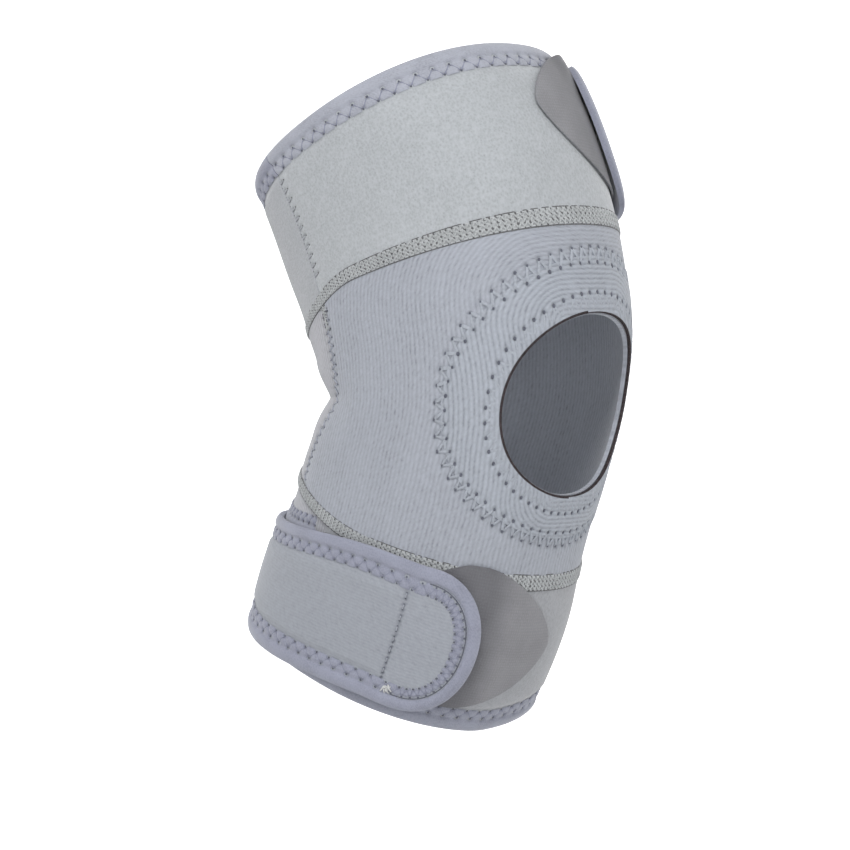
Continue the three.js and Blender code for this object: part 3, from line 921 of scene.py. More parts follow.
def side_table(side):
    """Places of one side grid of the panel, from the box to the side seam."""
    levels = np.concatenate([[None], frame_levels, [None]])
    columns = []
    for share in np.linspace(0, 1, 52):
        column = []
        for k, level in enumerate(levels):
            angle = mix(FRAME_HALF, SIDE_MIDDLE, share)
            for _ in range(4):
                if k == 0:
                    level = lower_seam(angle) + SEAM_GAP
                elif k == len(levels) - 1:
                    level = upper_seam(angle) - SEAM_GAP
                angle = mix(FRAME_HALF, float(side_seam(np.float64(level))) - SEAM_GAP, share)
            column.append((-side * angle * MM_PER_DEGREE, float(level)))
        columns.append(np.array(column))
    return columns


def join_flat(name, *pieces):
    pick(*pieces)
    if len(pieces) > 1:
        bpy.ops.object.join()
    piece = bpy.context.object
    piece.name = piece.data.name = name
    bpy.ops.object.mode_set(mode="EDIT")
    bpy.ops.mesh.select_all(action="SELECT")
    bpy.ops.mesh.remove_doubles(threshold=1e-6)
    bpy.ops.mesh.normals_make_consistent(inside=False)
    bpy.ops.object.mode_set(mode="OBJECT")
    if piece.data.polygons[0].normal.z < 0:
        piece.data.flip_normals()
    return piece


# %% [markdown]
# ### Ribs that arch over the kneecap
# The ribs run up the leg at the side. Over the kneecap they are drawn into arches, because the cloth is
# stretched round it. The flat map takes this up: its first number is the distance from a box that lies over
# the kneecap, and its second runs along each rib. Above and below, the ribs lie closer together.

# %% Ribs of the panel, the ring and their stitches
ARCH_CLOSER = 1.5


def arched_ribs(x, y, left, right, top, bottom, lean=0.0):
    """Distance from a box that lies over the kneecap, and the way along the rib."""
    x = x + lean * np.clip(y, bottom, top)
    middle, level = (left + right) / 2, (top + bottom) / 2
    wide, high = (right - left) / 2, (top - bottom) / 2
    aside = np.abs(x - middle) - wide
    rise = np.abs(y - level) - high
    out_x, out_y = np.maximum(aside, 0), np.maximum(rise, 0)
    across = np.hypot(out_x, out_y * ARCH_CLOSER) + np.minimum(np.maximum(aside, rise * ARCH_CLOSER), 0)
    turn = np.arctan2(out_y, out_x)
    beside = aside >= rise
    way = np.where(beside, np.minimum(np.abs(y - level), high), high + wide)
    way = way + across * turn - np.where(beside, 0, np.minimum(np.abs(x - middle), wide))
    return across, way * np.sign(y - level + 1e-9)


def ellipse_path(ring, grow=0.0, shift=0.0):
    turn = np.linspace(0, -2 * math.pi, 721) + math.pi / 2
    x = (ring["around"] * MM_PER_DEGREE + grow) * np.cos(turn)
    return Path(x, ring["middle"] + shift + (ring["along"] + grow) * np.sin(turn), 0.5)


pad_edge_path = ellipse_path(PAD)
pad_pitch = pad_edge_path.length / round(pad_edge_path.length / 4.9)
pad_holes = zigzag_holes(pad_edge_path, 2.1, -2.1, pad_pitch)
inner_path = ellipse_path({"around": 44.0, "along": 29.0, "middle": 0.0})
inner_pitch = inner_path.length / round(inner_path.length / 4.3)
inner_holes = zigzag_holes(inner_path, 0.9, -3.0, inner_pitch)
print("stitches round the pad:", len(pad_holes), "and inside it:", len(inner_holes))


def share_of(ring, x, y):
    return np.hypot(x / (ring["around"] * MM_PER_DEGREE), (y - ring["middle"]) / ring["along"])


def closed(holes):
    """The holes of a ring, with the first again at the end."""
    return np.vstack([holes, holes[:1]])


def panel_outer(x, y):
    bed = smooth((1.0 - share_of(PAD, x, y)) / 0.025)
    near_pad = np.exp(-(((share_of(PAD, x, y) - 1) * 45) / 3.5) ** 2)
    pull = pulled_in(x, y, closed(pad_holes), 0.95, 0.9, 0.12, 0.9)
    soft = side_pull(x, y) + pull * (1 - bed) + 0.1 * near_pad * (1 - bed)
    return -1.3 * bed - soft + 0.12 * ripple(x, y, 8, 11) * (1 - bed)


def make_panel():
    core = grid_mesh("core", rows, closed=True)
    sides = [grid_mesh("side", side_table(side)) for side in (1, -1)]
    return join_flat("knee_panel_cloth", core, *sides)


knee_panel = make_panel()
knee_panel.data.uv_layers.new()
p = points_of(knee_panel) / MM
set_map(knee_panel, *arched_ribs(p[:, 0], p[:, 1], -23.0, 23.0, 30.0, -200.0))
give_wall(knee_panel, panel_outer, lambda x, y: np.full(len(x), -WALL), lining=1, rim=2)
mark_hole_shade(knee_panel, np.vstack([side_marks, pad_holes]), 0.6)
wrap_on_leg(knee_panel)
finish_piece(knee_panel, "jersey", panel_jersey, lining, foam_and_gap_shade, node="knee_panel")

# %% Cut and wrap the pad


def ring_table():
    turn = np.linspace(0, 2 * math.pi, 481)[:-1]
    hole = np.stack([HOLE["around"] * MM_PER_DEGREE * np.cos(turn), HOLE["along"] * np.sin(turn)], 1)
    pad = np.stack([PAD["around"] * MM_PER_DEGREE * np.cos(turn),
                    PAD["middle"] + PAD["along"] * np.sin(turn)], 1)
    shares = np.concatenate([[0.015, 0.03], np.linspace(0.06, 0.95, 30), [0.965, 0.975]])
    return [mix(hole, pad, share) for share in shares]


def ring_outer(x, y):
    hole_share, pad_share = share_of(HOLE, x, y), share_of(PAD, x, y)
    inside = (hole_share - 1) * 30
    outside = (1 - pad_share) * 50
    edge = 0.9 * np.exp(-inside / 1.1) + 0.55 * np.exp(-outside / 1.6)
    pull = pulled_in(x, y, closed(pad_holes), 0.95, 0.9, 0.12, 0.9)
    pull += pulled_in(x, y, inner_holes[::2], 0.9, 0.8, 0.0, 0.8)
    pull += pulled_in(x, y, closed(inner_holes), 0.0, 0.8, 0.3, 0.8)
    return np.maximum(0.75 - edge - pull + 0.08 * ripple(x, y, 6, 21), -0.85)


ring = grid_mesh("ring", ring_table(), closed=True)
ring = join_flat("patella_ring_pad", ring)
ring.data.uv_layers.new()
p = points_of(ring) / MM
set_map(ring, *arched_ribs(p[:, 0], p[:, 1], -13.0, 13.0, 22.0, -24.0, 0.15))
give_wall(ring, ring_outer, lambda x, y: np.full(len(x), -1.0), lining=0, rim=1)
mark_hole_shade(ring, np.vstack([pad_holes, inner_holes[::2]]), 0.55)
p = points_of(ring) / MM
# Faces round the hole, wider on one side, take the dark foam colour: real dark foam at the cut, and painted
# shadow in the gap at the hole's edge.
near_cut_shadow = share_of(HOLE, p[:, 0], p[:, 1]) < mix(1.042, 1.024, smooth(0.5 + p[:, 0] / 30))
wrap_on_leg(ring)
cut_edge_and_shadow = [f for f in ring.data.polygons if all(near_cut_shadow[v] for v in f.vertices)]
for face in cut_edge_and_shadow:
    face.material_index = 1
print("faces on the dark cut edge:", len(cut_edge_and_shadow))
finish_piece(ring, "ring_jersey", ring_jersey, foam_and_gap_shade, node="patella_ring")

# %% [markdown]
# ## Knee back and calf back
# Behind the knee the padded panel folds as the knee bends. Below it is a thin knit piece without padding,
# which keeps the calf cool and lets the sleeve bend.

# %% Cut and wrap the back pieces


def place_knee_back(s, t):
    angle = mix(SIDE_LOW, 360 - SIDE_LOW, s)
    for _ in range(4):
        along = mix(lower_seam(angle) + SEAM_GAP, upper_seam(angle) - SEAM_GAP, t)
        seam = side_seam(along) + SEAM_GAP
        angle = mix(seam, 360 - seam, s)
    return -angle * MM_PER_DEGREE, along


def back_creases(x, y):
    """Fine creases beside the fold, which fade to the sides."""
    from_back = np.abs(x + 180 * MM_PER_DEGREE)
    fade = np.maximum(1 - from_back / 60, 0)
    creases = 0.35 * np.sin(y / 2.9 + 0.03 * x) + 0.2 * np.sin(y / 1.7 - 0.05 * x)
    return fade * creases * np.exp(-(y / 30) ** 2)


def strap_rest(x, y):
    """The top edge swells a little where the thigh strap starts to lie on the tail, and closes that seam."""
    around = -x / MM_PER_DEGREE
    here = smooth((around - 199) / 6) * (1 - smooth((around - 210) / 3))
    return 0.75 * here * smooth((y - upper_seam(around) + 3.5) / 2)


knee_back = cut_grid("knee_back_cloth", 120, 86, flip(place_knee_back))
p = points_of(knee_back) / MM
set_map(knee_back, p[:, 0], p[:, 1])
give_wall(knee_back, lambda x, y: strap_rest(x, y) - side_pull(x, y) + back_creases(x, y) * 0.6,
          lambda x, y: np.full(len(x), -WALL), lining=1)
mark_hole_shade(knee_back, side_marks, 0.75)
wrap_on_leg(knee_back)
finish_piece(knee_back, "back_knit", back_knit, lining, node="knee_back")


def place_calf_back(s, t):
    around = mix(99.5 + 9 * (1 - t), 360 - SIDE_LOW - SEAM_GAP, s)
    return -around * MM_PER_DEGREE, mix(calf_back_edge(around), lower_seam(around) - SEAM_GAP, t)


OUTER_BACK = (KNIT_WALL - WALL) / 2
calf_back = cut_grid("calf_back_knit", 130, 16, flip(place_calf_back))
p = points_of(calf_back) / MM
set_map(calf_back, p[:, 0], p[:, 1])
give_wall(calf_back, lambda x, y: OUTER_BACK + 0.1 * ripple(x, y, 4, 31),
          lambda x, y: np.full(len(x), OUTER_BACK - KNIT_WALL), lining=1)
wrap_on_leg(calf_back)
finish_piece(calf_back, "back_knit", back_knit, lining, node="calf_back")

# %% [markdown]
# ## Straps
# A strap is sewn to the sleeve at one side seam, runs round the back and ends in a round tongue. It lies
# on the sleeve, so its height rises where its band is under it, and once more over its hook tab.

# %% Lines of the two straps


def share(start, end, around):
    return np.clip((around - start) / (end - start), 0, 1)


class Strap:
    def __init__(self, heading, start, tip, shoulder, upper, lower, lift, at_end, free_from, rounding):
        self.heading, self.start, self.tip, self.shoulder = heading, start, tip, shoulder
        self.upper, self.lower, self.lift, self.at_end = upper, lower, lift, at_end
        self.free_from, self.rounding = free_from, rounding

    def end_at(self, off):
        bulge = (1 - np.minimum(np.abs(off), 1) ** self.rounding) ** (1 / self.rounding)
        return self.tip - self.heading * END_DEPTH * (1 - bulge)

    def seam(self, along):
        if self.heading > 0:
            return side_seam(along) + STRAP_SEAM_GAP
        return np.full(np.shape(along), 360 - SIDE_LOW - SEAM_GAP)

    def place(self, s, t):
        """s runs from the seam to the tip and t across, from the lower edge to the upper one."""
        off = np.sin((t - 0.5) * math.pi) * 0.35 + (2 * t - 1) * 0.65
        run = 0.88
        body = mix(self.start, self.shoulder, np.minimum(s / run, 1))
        along = mix(self.lower(body), self.upper(body), (1 + off) / 2)
        first = self.seam(along)
        body = mix(first, self.shoulder, np.minimum(s / run, 1))
        end = mix(self.shoulder, self.end_at(off), np.clip((s - run) / (1 - run), 0, 1))
        around = np.where(s <= run, body, end)
        return around, mix(self.lower(body), self.upper(body), (1 + off) / 2)

    def outline(self):
        """The bound edge: along the upper side, round the tip and back along the lower side."""
        first = float(self.seam(self.upper(np.float64(self.start)))) + self.heading * 0.27
        run = np.linspace(first, self.shoulder, 200)
        off = np.cos(np.linspace(0, math.pi, 121))
        low, high = self.lower(self.shoulder), self.upper(self.shoulder)
        free = run[self.heading * (run - self.free_from) >= 0][::-1]
        around = np.concatenate([run, self.end_at(off), free])
        along = np.concatenate([self.upper(run), mix(low, high, (1 + off) / 2), self.lower(free)])
        return around, along


thigh_strap = Strap(
    1, SIDE_MIDDLE, 335.0, 306.0,
    lambda a: TOP_RIM - 2.0 * smooth((a - 280) / 26),
    lambda a: (upper_seam(a) + SEAM_GAP - 0.9 * smooth((a - 203) / 4) * (1 - smooth((a - 207) / 5))
               + 1.2 * smooth((a - 207) / 8) + 4.5 * smooth((a - 275) / 31)),
    lambda a: STRAP_LIFT * share(192, 210, a) + TAB_LIFT * share(297, 306, a),
    lambda a: share(297, 306, a),
    208.0, 2.7,
)
calf_strap = Strap(
    -1, 360 - SIDE_LOW - SEAM_GAP, 28.0, 54.0,
    lambda a: -52 - 18 * smooth((a - 70) / 100),
    lambda a: -107.5 - 6.5 * smooth((a - 50) / 90),
    lambda a: STRAP_LIFT * share(189, 153, a) + TAB_LIFT * share(63, 54, a),
    lambda a: share(63, 54, a),
    360 - SIDE_LOW - 0.3, 2.2,
)


def strap_path(strap):
    """The bound edge as a path that keeps the way out of the cloth on its left."""
    around, along = strap.outline()
    x = -around * MM_PER_DEGREE
    if strap.heading > 0:
        x, along = x[::-1], along[::-1]
    return Path(x, along)


paths = {"thigh": strap_path(thigh_strap), "calf": strap_path(calf_strap)}
print("length of tape on each strap:", {k: round(v.length) for k, v in paths.items()})


# %% Cut and wrap the straps


def edge_distance(x, y, path):
    """How far a flat place is from a path, in millimetres."""
    tree = KDTree(len(path.x))
    for k, (a, b) in enumerate(zip(path.x, path.y)):
        tree.insert((a, b, 0), k)
    tree.balance()
    return np.array([tree.find((a, b, 0))[2] for a, b in zip(x, y)])


def make_strap(name, strap, path, columns, rows, node, cloth, more=None, marks=None):
    def place(s, t):
        around, along = strap.place(1 - s if strap.heading > 0 else s, t)
        return -around * MM_PER_DEGREE, along

    piece = cut_grid(name, columns, rows, place)
    p = points_of(piece) / MM
    around = -p[:, 0] / MM_PER_DEGREE
    middle = (strap.lower(around) + strap.upper(around)) / 2
    set_map(piece, p[:, 1] - middle, p[:, 0])

    def press(x, y):
        a = -x / MM_PER_DEGREE
        return mix(rim_press(edge_distance(x, y, path)), 0.75, strap.at_end(a))

    def outer(x, y):
        a = -x / MM_PER_DEGREE
        face = strap.lift(a) - press(x, y) + 0.1 * ripple(x, y, 9, 41)
        return face - (more(x, y) if more else 0)

    give_wall(piece, outer, lambda x, y: strap.lift(-x / MM_PER_DEGREE) - WALL + press(x, y), lining=1)
    if marks is not None:
        mark_hole_shade(piece, marks, 0.6, 1.5)
    wrap_on_leg(piece)
    finish_piece(piece, "strap_jersey", cloth, lining, node=node)


stitch_line = Path(np.array([-57.5, -57.0]) * MM_PER_DEGREE, np.array([-62.5, -99.0]))
line_holes = np.stack(stitch_line.place(np.arange(0, stitch_line.length, 2.2), 0.0), 1)


def line_pull(x, y):
    return pulled_in(x, y, line_holes, 0.35, 0.7, 0.25, 0.7)


make_strap("thigh_strap_cloth", thigh_strap, paths["thigh"], 200, 50, "thigh_strap", strap_pile)
make_strap("calf_strap_cloth", calf_strap, paths["calf"], 200, 56, "calf_strap", strap_jersey, line_pull,
           line_holes)

# %% [markdown]
# ## Bindings
# A binding is a tape folded over the edge. From the front it is a soft roll, a groove, and a flat leg that
# the zigzag holds down. Its section is drawn once and carried along the path of the rim.

# %% The section of a folded tape
# distance in from the edge, height above the squeezed cloth
TAPE_FRONT = [(9.5, 0.3), (9.1, 0.55), (8.0, 0.8), (7.0, 0.85), (6.0, 0.75), (5.2, 0.5), (4.7, 0.45),
              (4.2, 0.62), (3.4, 1.05), (2.4, 1.2), (1.2, 1.1), (0.2, 0.8), (-0.5, 0.45), (-0.85, 0.0)]
TAPE_BACK = [(d, -min(h, 0.75)) for d, h in TAPE_FRONT[:-1]][::-1]
TAPE_SECTION = np.array(TAPE_FRONT + TAPE_BACK)
TAPE_RUN = np.concatenate([[0], np.cumsum(np.hypot(*np.diff(TAPE_SECTION, axis=0).T))])


def on_section(t):
    """Distance in from the edge and height at a share of the way round the section."""
    return (np.interp(t * TAPE_RUN[-1], TAPE_RUN, column) for column in TAPE_SECTION.T)


def tape_holes(path, pitch, tight=None):
    """Needle holes of a tape, closer together where the path is tight."""
    at, marks = 1.5, []
    while at < path.length - 1.5:
        marks.append(at)
        step = pitch if tight is None else mix(pitch, 4.2, float(tight(at)))
        at += step / 2
    marks = np.array(marks)
    off = np.where(np.arange(len(marks)) % 2 == 0, -ZIG_NEAR, -ZIG_FAR)
    return np.stack(path.place(marks, off), 1)


def make_binding(node, material, pitch, tight=None, tuck=(False, False)):
    """Tape along its line, whose left is the way out of the cloth, and the holes of its zigzag."""
    path, lift, half, slot = TAPES[node]
    holes = tape_holes(path, pitch, tight)

    def place(s, t):
        at = s * path.length
        around = -path.place(at, 0)[0] / MM_PER_DEGREE
        d, skin = on_section(t)
        deep = mix(0.2, 0.7, tight(at) if tight else 0.0)
        groove = deep * np.exp(-((d - GROOVE_AT) / 0.6) ** 2) * (skin > 0)
        x, y = path.place(at, -d)
        down = tuck[0] * smooth(1 - at / 3) + tuck[1] * smooth(1 - (path.length - at) / 3)
        return x, y, lift(around) - WALL / 2 + skin + np.sign(skin) * half(around) - groove - 1.3 * down

    piece = cut_grid(f"{node}_tape", int(path.length / 0.75), 34, place)
    p = points_of(piece) / MM
    set_map(piece, p[:, 0] + p[:, 2], p[:, 1])
    around = -p[:, 0] / MM_PER_DEGREE
    front = smooth((p[:, 2] - (lift(around) - WALL / 2)) / 0.4)
    pull = pulled_in(p[:, 0], p[:, 1], holes, 0.75, 0.85, 0.35, 0.9)
    p[:, 2] -= pull * front
    move_points(piece, p * MM)
    # painted shade in the needle holes of the tape
    write_painted_shade(piece, near_holes(p[:, 0], p[:, 1], holes, 0.75) * front)
    apply_modifier(piece, "SOLIDIFY", thickness=0.4 * MM, offset=-1)
    wrap_on_leg(piece)
    finish_piece(piece, slot, material, node=node)
    return piece, holes


def plain(value):
    return lambda a: np.full(np.shape(a), float(value))


def rim_path(first, last, along):
    around = np.linspace(first, last, 400)
    return Path(-around * MM_PER_DEGREE, along(around))


BOUND_HALF = WALL / 2 - SQUEEZE
flat_lift = plain(0)


def strap_half(strap):
    return lambda a: WALL / 2 - mix(SQUEEZE, 0.85, strap.at_end(a))


# The line of each tape, the lift and half thickness of the cloth in it, and its slot
TAPES = {
    "thigh_binding": (
        rim_path(112.85, THIGH_TAIL, plain(TOP_RIM)), flat_lift, plain(BOUND_HALF), "tape_cloth"),
    "calf_binding": (
        rim_path(-SIDE_LOW + 0.3, CALF_TAIL, bottom_rim), flat_lift, plain(BOUND_HALF), "tape_cloth"),
    "calf_back_binding": (
        rim_path(109.5, 360 - SIDE_LOW - 0.3, calf_back_edge), flat_lift, plain(KNIT_WALL / 2), "tape_cloth"),
    "thigh_strap_binding": (paths["thigh"], thigh_strap.lift, strap_half(thigh_strap), "strap_tape"),
    "calf_strap_binding": (paths["calf"], calf_strap.lift, strap_half(calf_strap), "strap_tape"),
}


def round_the_tip(strap, path):
    """1 where the path goes round the tip of the strap, 0 along its straight edges."""
    around = -path.x / MM_PER_DEGREE
    at_tip = smooth(strap.heading * (around - strap.shoulder) / 8)
    return lambda at: np.interp(at, path.at, at_tip)


bindings = {
    "thigh_binding": make_binding("thigh_binding", thigh_rim_tape, 6.4),
    "calf_binding": make_binding("calf_binding", calf_rim_tape_shaded, 6.4),
    "calf_back_binding": make_binding("calf_back_binding", calf_rim_tape_shaded, 5.0, tuck=(True, False)),
}
for word, strap in (("thigh", thigh_strap), ("calf", calf_strap)):
    bindings[f"{word}_strap_binding"] = make_binding(
        f"{word}_strap_binding", strap_tape, 6.6, round_the_tip(strap, paths[word]))


def worn_length(path, lift):
    """Length of a path in metres once it is wrapped on the leg, where the table's scale is only even."""
    around = -path.x / MM_PER_DEGREE
    worn = leg_point(path.y, around, lift(around))
    return float(np.linalg.norm(np.diff(worn, axis=0), axis=1).sum())


tape_lines = {name: (path, lift) for name, (path, lift, _, _) in TAPES.items()}
for name, (piece, holes) in bindings.items():
    worn_length(*tape_lines[name])

# %% [markdown]
# ### Zigzags on the tapes
# Each tape is held by a zigzag in thread of its own colour. The threads follow the needle holes that
# already dent the tape.

# %% Sew the zigzags


def sew_zigzag(name, holes, height, radius=0.28, arch=0.08, material=tape_thread, slot="tape_cloth"):
    sew(name, holes[:-1], holes[1:], height, radius, arch, material, slot, 0.45)


def on_tape(name, x, rise=THREAD_RISE):
    """Height of a thread on a tape, over a flat place."""
    _, lift, half, _ = TAPES[name]
    around = -x / MM_PER_DEGREE
    return lift(around) - WALL / 2 + half(around) + rise


for name, (_, holes) in bindings.items():
    sew_zigzag(name.replace("strap_binding", "strap") + "_zigzag", holes,
               on_tape(name, (holes[:-1, 0] + holes[1:, 0]) / 2), slot=TAPES[name][3])
for name, (_, holes) in bindings.items():
    size = 0.46 * rng.uniform(0.75, 1.15, len(holes))
    pierce(f"{name}_pits", holes, on_tape(name, holes[:, 0]), size, TAPES[name][3])

# %% Painted shade: a dark line in the groove behind the roll, round the tips of the straps
for word, strap in (("thigh", thigh_strap), ("calf", calf_strap)):
    path, tight = paths[word], round_the_tip(strap, paths[word])
    at = np.arange(1.0, path.length - 1.0, 1.1)
    at = at[tight(at) > 0.35]
    starts, ends = (np.stack(path.place(at + step, np.full(len(at), -GROOVE_AT)), 1) for step in (0, 1.25))
    sew(f"{word}_strap_groove_shade", starts, ends, on_tape(f"{word}_strap_binding", starts[:, 0], 0.05),
        0.26, 0.0, hole_and_groove_shade, "strap_tape", 0.0)

# %% [markdown]
# ## Hook tabs
# A hook tab is a thin, stiff leaf with a round end. Its root is under the strap and its end grips the band.

# %% Cut and wrap the tabs


def make_tab(name, root, base, tip, middle, above, below, node, shade_from, shade_run, tuck_in=0.0,
             stand_off=0.0):
    """A leaf from its root to its tip, in degrees, that reaches above and below a level. It gets painted
    shadow beside the strap's end, and its upper corner may stand off the band."""
    side = 1 if tip < base else -1

    def place(s, t):
        off = np.sin((t - 0.5) * math.pi)
        bulge = (1 - np.abs(off) ** TAB_ROUNDING) ** (1 / TAB_ROUNDING)
        end = mix(base, tip, bulge)
        around = mix(root, end, s)
        under = smooth(1 - 1.3 * s)
        reach = np.where(off > 0, above - tuck_in * under, below - tuck_in * under)
        return -around * MM_PER_DEGREE, middle + reach * off

    piece = cut_grid(name, 60, 64, place if side > 0 else flip(place))
    p = points_of(piece) / MM
    set_map(piece, p[:, 0], p[:, 1])

    def stand(x, y):
        near_root = smooth((-x / MM_PER_DEGREE - base) * side / 9 + 1.6)
        return stand_off * near_root * smooth((y - middle - 5) / 15)

    give_wall(piece, lambda x, y: TAB_FACE + stand(x, y), lambda x, y: TAB_BACK + stand(x, y), rim=1)
    p = points_of(piece) / MM
    # Painted shadow of the strap's end: the tab's colour grows darker towards the strap.
    write_painted_shade(piece, 0.6 * smooth(1 - side * (shade_from + p[:, 0] / MM_PER_DEGREE) / shade_run))
    wrap_on_leg(piece)
    apply_modifier(piece, "BEVEL", width=0.2 * MM, segments=2, limit_method="ANGLE", angle_limit=1.0)
    finish_piece(piece, "hook_cloth", hook_face, tab_rim_highlight, node=node)
    return piece


thigh_tab = make_tab("thigh_hook_tab_leaf", -38, -29, 7, 88, 24, 27, "thigh_hook_tab", -24, 28, 0.0, 1.6)
calf_tab = make_tab("calf_hook_tab_leaf", 52, 30, -7, -74, 26, 29, "calf_hook_tab", 28, 14, 5.0)

# %% [markdown]
# ## Flatlock seams
# Above and below the knee the pieces are joined edge to edge by a flatlock seam: four rows of needle thread
# with crossing threads between them, over a pale bed. Dark pits of painted shade mark the needle holes, and a
# dark line of painted shade runs along each edge.

# %% Beds and threads of the flatlock seams
LOCK_HALF = 2.8
LOCK_PITCH = 2.3
LOCK_ROWS = (-2.2, -0.75, 0.75, 2.2)


def make_flatlock(word, path, slot):
    columns = int(path.length / 0.8)
    bed = cut_grid(f"{word}_flatlock_bed", columns, 12, lambda s, t: path.place(
        s * path.length, (2 * t - 1) * LOCK_HALF))
    p = points_of(bed) / MM
    set_map(bed, p[:, 0], p[:, 1])
    order = np.argsort(path.x)

    def bed_height(x, y):
        off = np.abs(y - np.interp(x, path.x[order], path.y[order]))
        return 0.12 - 0.35 * smooth((off - 1.5) / 1.4)

    give_wall(bed, bed_height, lambda x, y: np.full(len(x), -0.45))
    wrap_on_leg(bed)
    finish_piece(bed, slot, seam_bed)
    # The seam is 5.6 mm wide. Its length on the leg is worked out here, but nothing uses it. A flat
    # width under 10 mm isn't taken
    worn = worn_length(path, flat_lift)
    count = int(path.length / LOCK_PITCH)
    at = (np.arange(count) + 0.5) * path.length / count
    jitter = rng.normal(0, 0.22, (count, 4))
    starts, ends, heights = [], [], []

    def stitch_from(a, row_a, b, row_b, height):
        starts.append(np.stack(path.place(a, np.full(len(a), row_a)), 1))
        ends.append(np.stack(path.place(b, np.full(len(b), row_b)), 1))
        heights.append(np.full(len(a), height))

    step = path.length / count
    for k, row in enumerate(LOCK_ROWS):
        lift_row = 0.22 if abs(row) < 2 else 0.12
        stitch_from(at - step * 0.4 + jitter[:, k], row, at + step * 0.4 + jitter[:, k], row, lift_row)
    for low, high in zip(LOCK_ROWS[:-1], LOCK_ROWS[1:]):
        lean = rng.normal(0, 0.14, (count, 2))
        stitch_from(at - step / 2 + lean[:, 0], low, at + step * 0.1, high, 0.26)
        stitch_from(at + step * 0.1, high, at + step / 2 + lean[:, 1], low, 0.28)
    sew(f"{word}_flatlock_threads", np.concatenate(starts), np.concatenate(ends),
        np.concatenate(heights), 0.27, 0.12, seam_thread, slot, 0.3)
    spots = [np.stack(path.place(at + step / 2 + jitter[:, k], row + 0.2 * jitter[:, 3 - k]), 1)
             for k, row in enumerate(LOCK_ROWS)]
    spot_size = np.repeat([0.3, 0.5, 0.5, 0.36], count) * rng.uniform(0.5, 1.2, 4 * count)
    pierce(f"{word}_flatlock_pits", np.concatenate(spots), 0.22, spot_size, slot, seam_shade)
    at = np.arange(0.5, path.length - 2, 1.5)
    kept = at[rng.random(len(at)) > 0.35]
    for side, marks in ((-1, at), (1, kept)):
        off = np.full(len(marks), side * (LOCK_HALF - 0.15))
        line = [np.stack(path.place(marks + step, off), 1) for step in (0, 1.6)]
        edge_name = f"{word}_flatlock_edge_{'low' if side < 0 else 'high'}"
        sew(edge_name, *line, 0.1, 0.17, 0.0, seam_shade, slot, 0.1)


def round_path(line, first, last):
    around = np.linspace(first, last, 500)
    return Path(-around * MM_PER_DEGREE, line(around))


make_flatlock("upper", round_path(upper_seam, 203, -150), "loop_cloth")
make_flatlock("lower", round_path(lower_seam, 180, -180), "calf_loop_cloth")

# %% Threads of the side seams and the pad
for word, side in (("left", 1), ("right", -1)):
    sew_zigzag(f"{word}_side_zigzag", side_zigzags[word], -0.45, 0.34, 0.12, cloth_thread, "jersey")
    sew(f"{word}_side_dashes", *side_dashes[word], -0.42, 0.36, 0.15, thigh_thread, "loop_cloth")
    lower, upper = side_dashes[word]
    pierce(f"{word}_side_dash_pits", np.vstack([upper, (lower[1:] + upper[:-1]) / 2]), -0.36, 0.36,
           "loop_cloth", seam_shade)
    pierce(f"{word}_side_pits", side_zigzags[word], -0.5, 0.42, "jersey")
    # the flatlock thread runs on down the side seam for a little way
    tail = side_path(side, UPPER_SEAM - 20, UPPER_SEAM - 6)
    at = np.linspace(0.5, tail.length - 0.5, 26)
    off = rng.normal(0, 0.9, 26)
    sew(f"{word}_flatlock_tail", np.stack(tail.place(at, off), 1), np.stack(tail.place(at + 1.3, -off), 1),
        -0.15, 0.24, 0.2, seam_thread, "jersey")
    pierce(f"{word}_flatlock_tail_pits", np.stack(tail.place(at, -1.3 * off), 1), -0.1, 0.36, "jersey",
           seam_shade)

sew_zigzag("pad_outer_zigzag", closed(pad_holes), -0.25, 0.55, 0.3, pad_thread, "ring_jersey")
sew_zigzag("pad_inner_zigzag", closed(inner_holes), 0.1, 0.42, 0.15, pad_thread, "ring_jersey")
outside = np.arange(len(pad_holes)) % 2 == 0
pierce("pad_outer_pits", pad_holes, np.where(outside, -0.16, 0.12),
       0.62 * rng.uniform(0.6, 1.1, len(pad_holes)), "ring_jersey")
inside = np.arange(len(inner_holes)) % 2 == 0
pierce("pad_inner_pits", inner_holes, np.where(inside, 0.3, 0.05), np.where(inside, 0.58, 0.36),
       "ring_jersey")
line_height = float(calf_strap.lift(57.25)) - 0.3
sew("calf_strap_stitch_line", line_holes[:-1:2], line_holes[1::2], line_height + 0.1,
    0.2, 0.1, cloth_thread, "strap_jersey")
pierce("calf_strap_line_pits", line_holes, line_height, 0.34, "strap_jersey")
knot = stitch_line.place(np.array([stitch_line.length - 1.0]), 0.0)
knot_at = np.column_stack(knot) + (2.6, -2.6) + rng.normal(0, 0.7, (12, 2))
sew("thread_knot", knot_at, knot_at + rng.normal(0, 0.8, (12, 2)) + (1.1, -1.0), line_height + 0.5,
    0.3, 0.5, pale_thread, "strap_tape", 0.2)

# %% [markdown]
# ## Stage, light and camera
# The sleeve hangs in the air as if worn, above a pale dish that is both floor and backdrop. The strongest
# lamp is high beside the camera, a wide weak one is level with it on the other side, and a third is above.

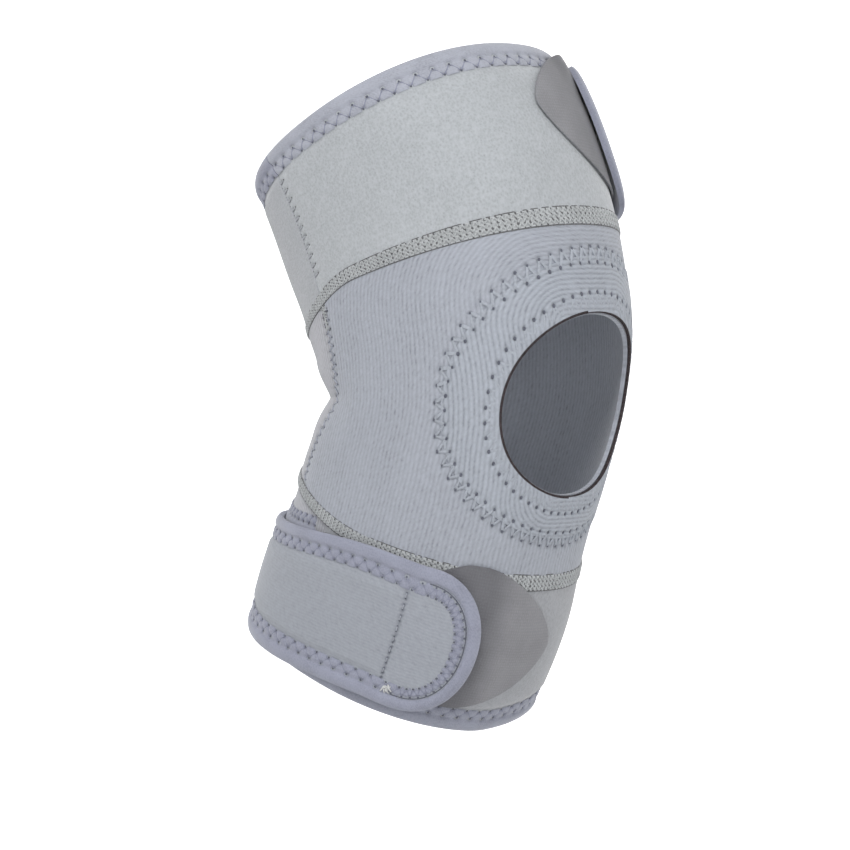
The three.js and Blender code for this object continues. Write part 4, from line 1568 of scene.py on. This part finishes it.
# %% The dish
DISH_FLOOR = -0.62
DISH_RADIUS = 2.0
DISH_CURVE = 1.4
DISH_STEPS = 12
bpy.ops.object.select_all(action="DESELECT")
bpy.ops.mesh.primitive_circle_add(vertices=96, radius=DISH_RADIUS, fill_type="NGON",
                                  location=(0, 0, DISH_FLOOR))
dish = bpy.context.object
dish.name = "dish"
bpy.ops.object.mode_set(mode="EDIT")
bpy.ops.mesh.select_all(action="SELECT")
for k in range(DISH_STEPS):
    low, high = (step / DISH_STEPS * math.pi / 2 for step in (k, k + 1))
    before, radius = (DISH_RADIUS + DISH_CURVE * math.sin(turn) for turn in (low, high))
    rise = DISH_CURVE * (math.cos(low) - math.cos(high))
    bpy.ops.mesh.extrude_region_move(TRANSFORM_OT_translate={"value": (0, 0, rise)})
    bpy.ops.transform.resize(value=(radius / before, radius / before, 1), center_override=(0, 0, 0))
bpy.ops.mesh.extrude_region_move(TRANSFORM_OT_translate={"value": (0, 0, 1.6)})
bpy.ops.mesh.delete(type="ONLY_FACE")
bpy.ops.object.mode_set(mode="OBJECT")
bpy.ops.object.shade_smooth_by_angle(angle=math.radians(60))
n = Nodes("pale_dish")
n.shader.inputs["Base Color"].default_value = (*paint(232, 232, 232), 1)
n.shader.inputs["Roughness"].default_value = 0.9
n.shader.inputs["Emission Color"].default_value = (1, 1, 1, 1)
# The part of the dish behind the sleeve glows, so that the backdrop is white and the front stays soft
BACKDROP_WAY = (0.766, 0.643, 0.0)
behind = n.tree.nodes.new("ShaderNodeVectorMath")
behind.operation = "DOT_PRODUCT"
n.tree.links.new(n.object(), behind.inputs[0])
behind.inputs[1].default_value = BACKDROP_WAY
glow = n.tree.nodes.new("ShaderNodeMapRange")
glow.interpolation_type = "SMOOTHSTEP"
n.tree.links.new(behind.outputs["Value"], glow.inputs["Value"])
for word, value in (("From Min", 0.2), ("From Max", 0.9), ("To Min", 0.05), ("To Max", 0.75)):
    glow.inputs[word].default_value = value
n.tree.links.new(glow.outputs["Result"], n.shader.inputs["Emission Strength"])
dish.data.materials.append(n.material)

# %% Lamps and sky


def soft_lamp(name, place, size, power):
    lamp = bpy.data.lights.new(name, "AREA")
    lamp.shape = "DISK"
    lamp.size = size
    lamp.energy = power
    holder = bpy.data.objects.new(name, lamp)
    bpy.context.collection.objects.link(holder)
    holder.location = place
    holder.rotation_euler = (-Vector(place)).to_track_quat("-Z", "Y").to_euler()


CAMERA_TURN = -50.0
CAMERA_RISE = 1.5


def round_camera(turn, rise, far):
    """A place seen from the middle of the knee, turned from the camera's own side."""
    a, e = math.radians(CAMERA_TURN + turn), math.radians(rise)
    return (far * math.sin(a) * math.cos(e), -far * math.cos(a) * math.cos(e), far * math.sin(e))


soft_lamp("key", round_camera(-8, 42, 1.8), 0.55, 15.5)
soft_lamp("fill", round_camera(15, 0, 1.9), 1.2, 5)
soft_lamp("top", (0, 0.3, 1.9), 1.2, 4)
world = bpy.data.worlds.new("pale_sky")
bpy.context.scene.world = world
world.use_nodes = True
world.node_tree.nodes["Background"].inputs["Color"].default_value = (1, 1, 1, 1)
world.node_tree.nodes["Background"].inputs["Strength"].default_value = 0.3

# %% Camera
AIM = Vector((0, 18, -9)) * MM
CAMERA_FAR = 1.5
FRAME_PIXELS = 850
PIXELS_PER_MM = 2.5
camera_data = bpy.data.cameras.new("camera")
camera_data.sensor_width = 36
camera_data.lens = 36 * CAMERA_FAR / MM * PIXELS_PER_MM / FRAME_PIXELS
camera = bpy.data.objects.new("camera", camera_data)
bpy.context.collection.objects.link(camera)
back = Vector(round_camera(0, CAMERA_RISE, 1.0))
camera.location = AIM + back * CAMERA_FAR
camera.rotation_euler = back.to_track_quat("Z", "Y").to_euler()
bpy.context.scene.camera = camera
bpy.context.scene.view_settings.view_transform = "Standard"
print("lens:", round(camera_data.lens, 2), "mm")
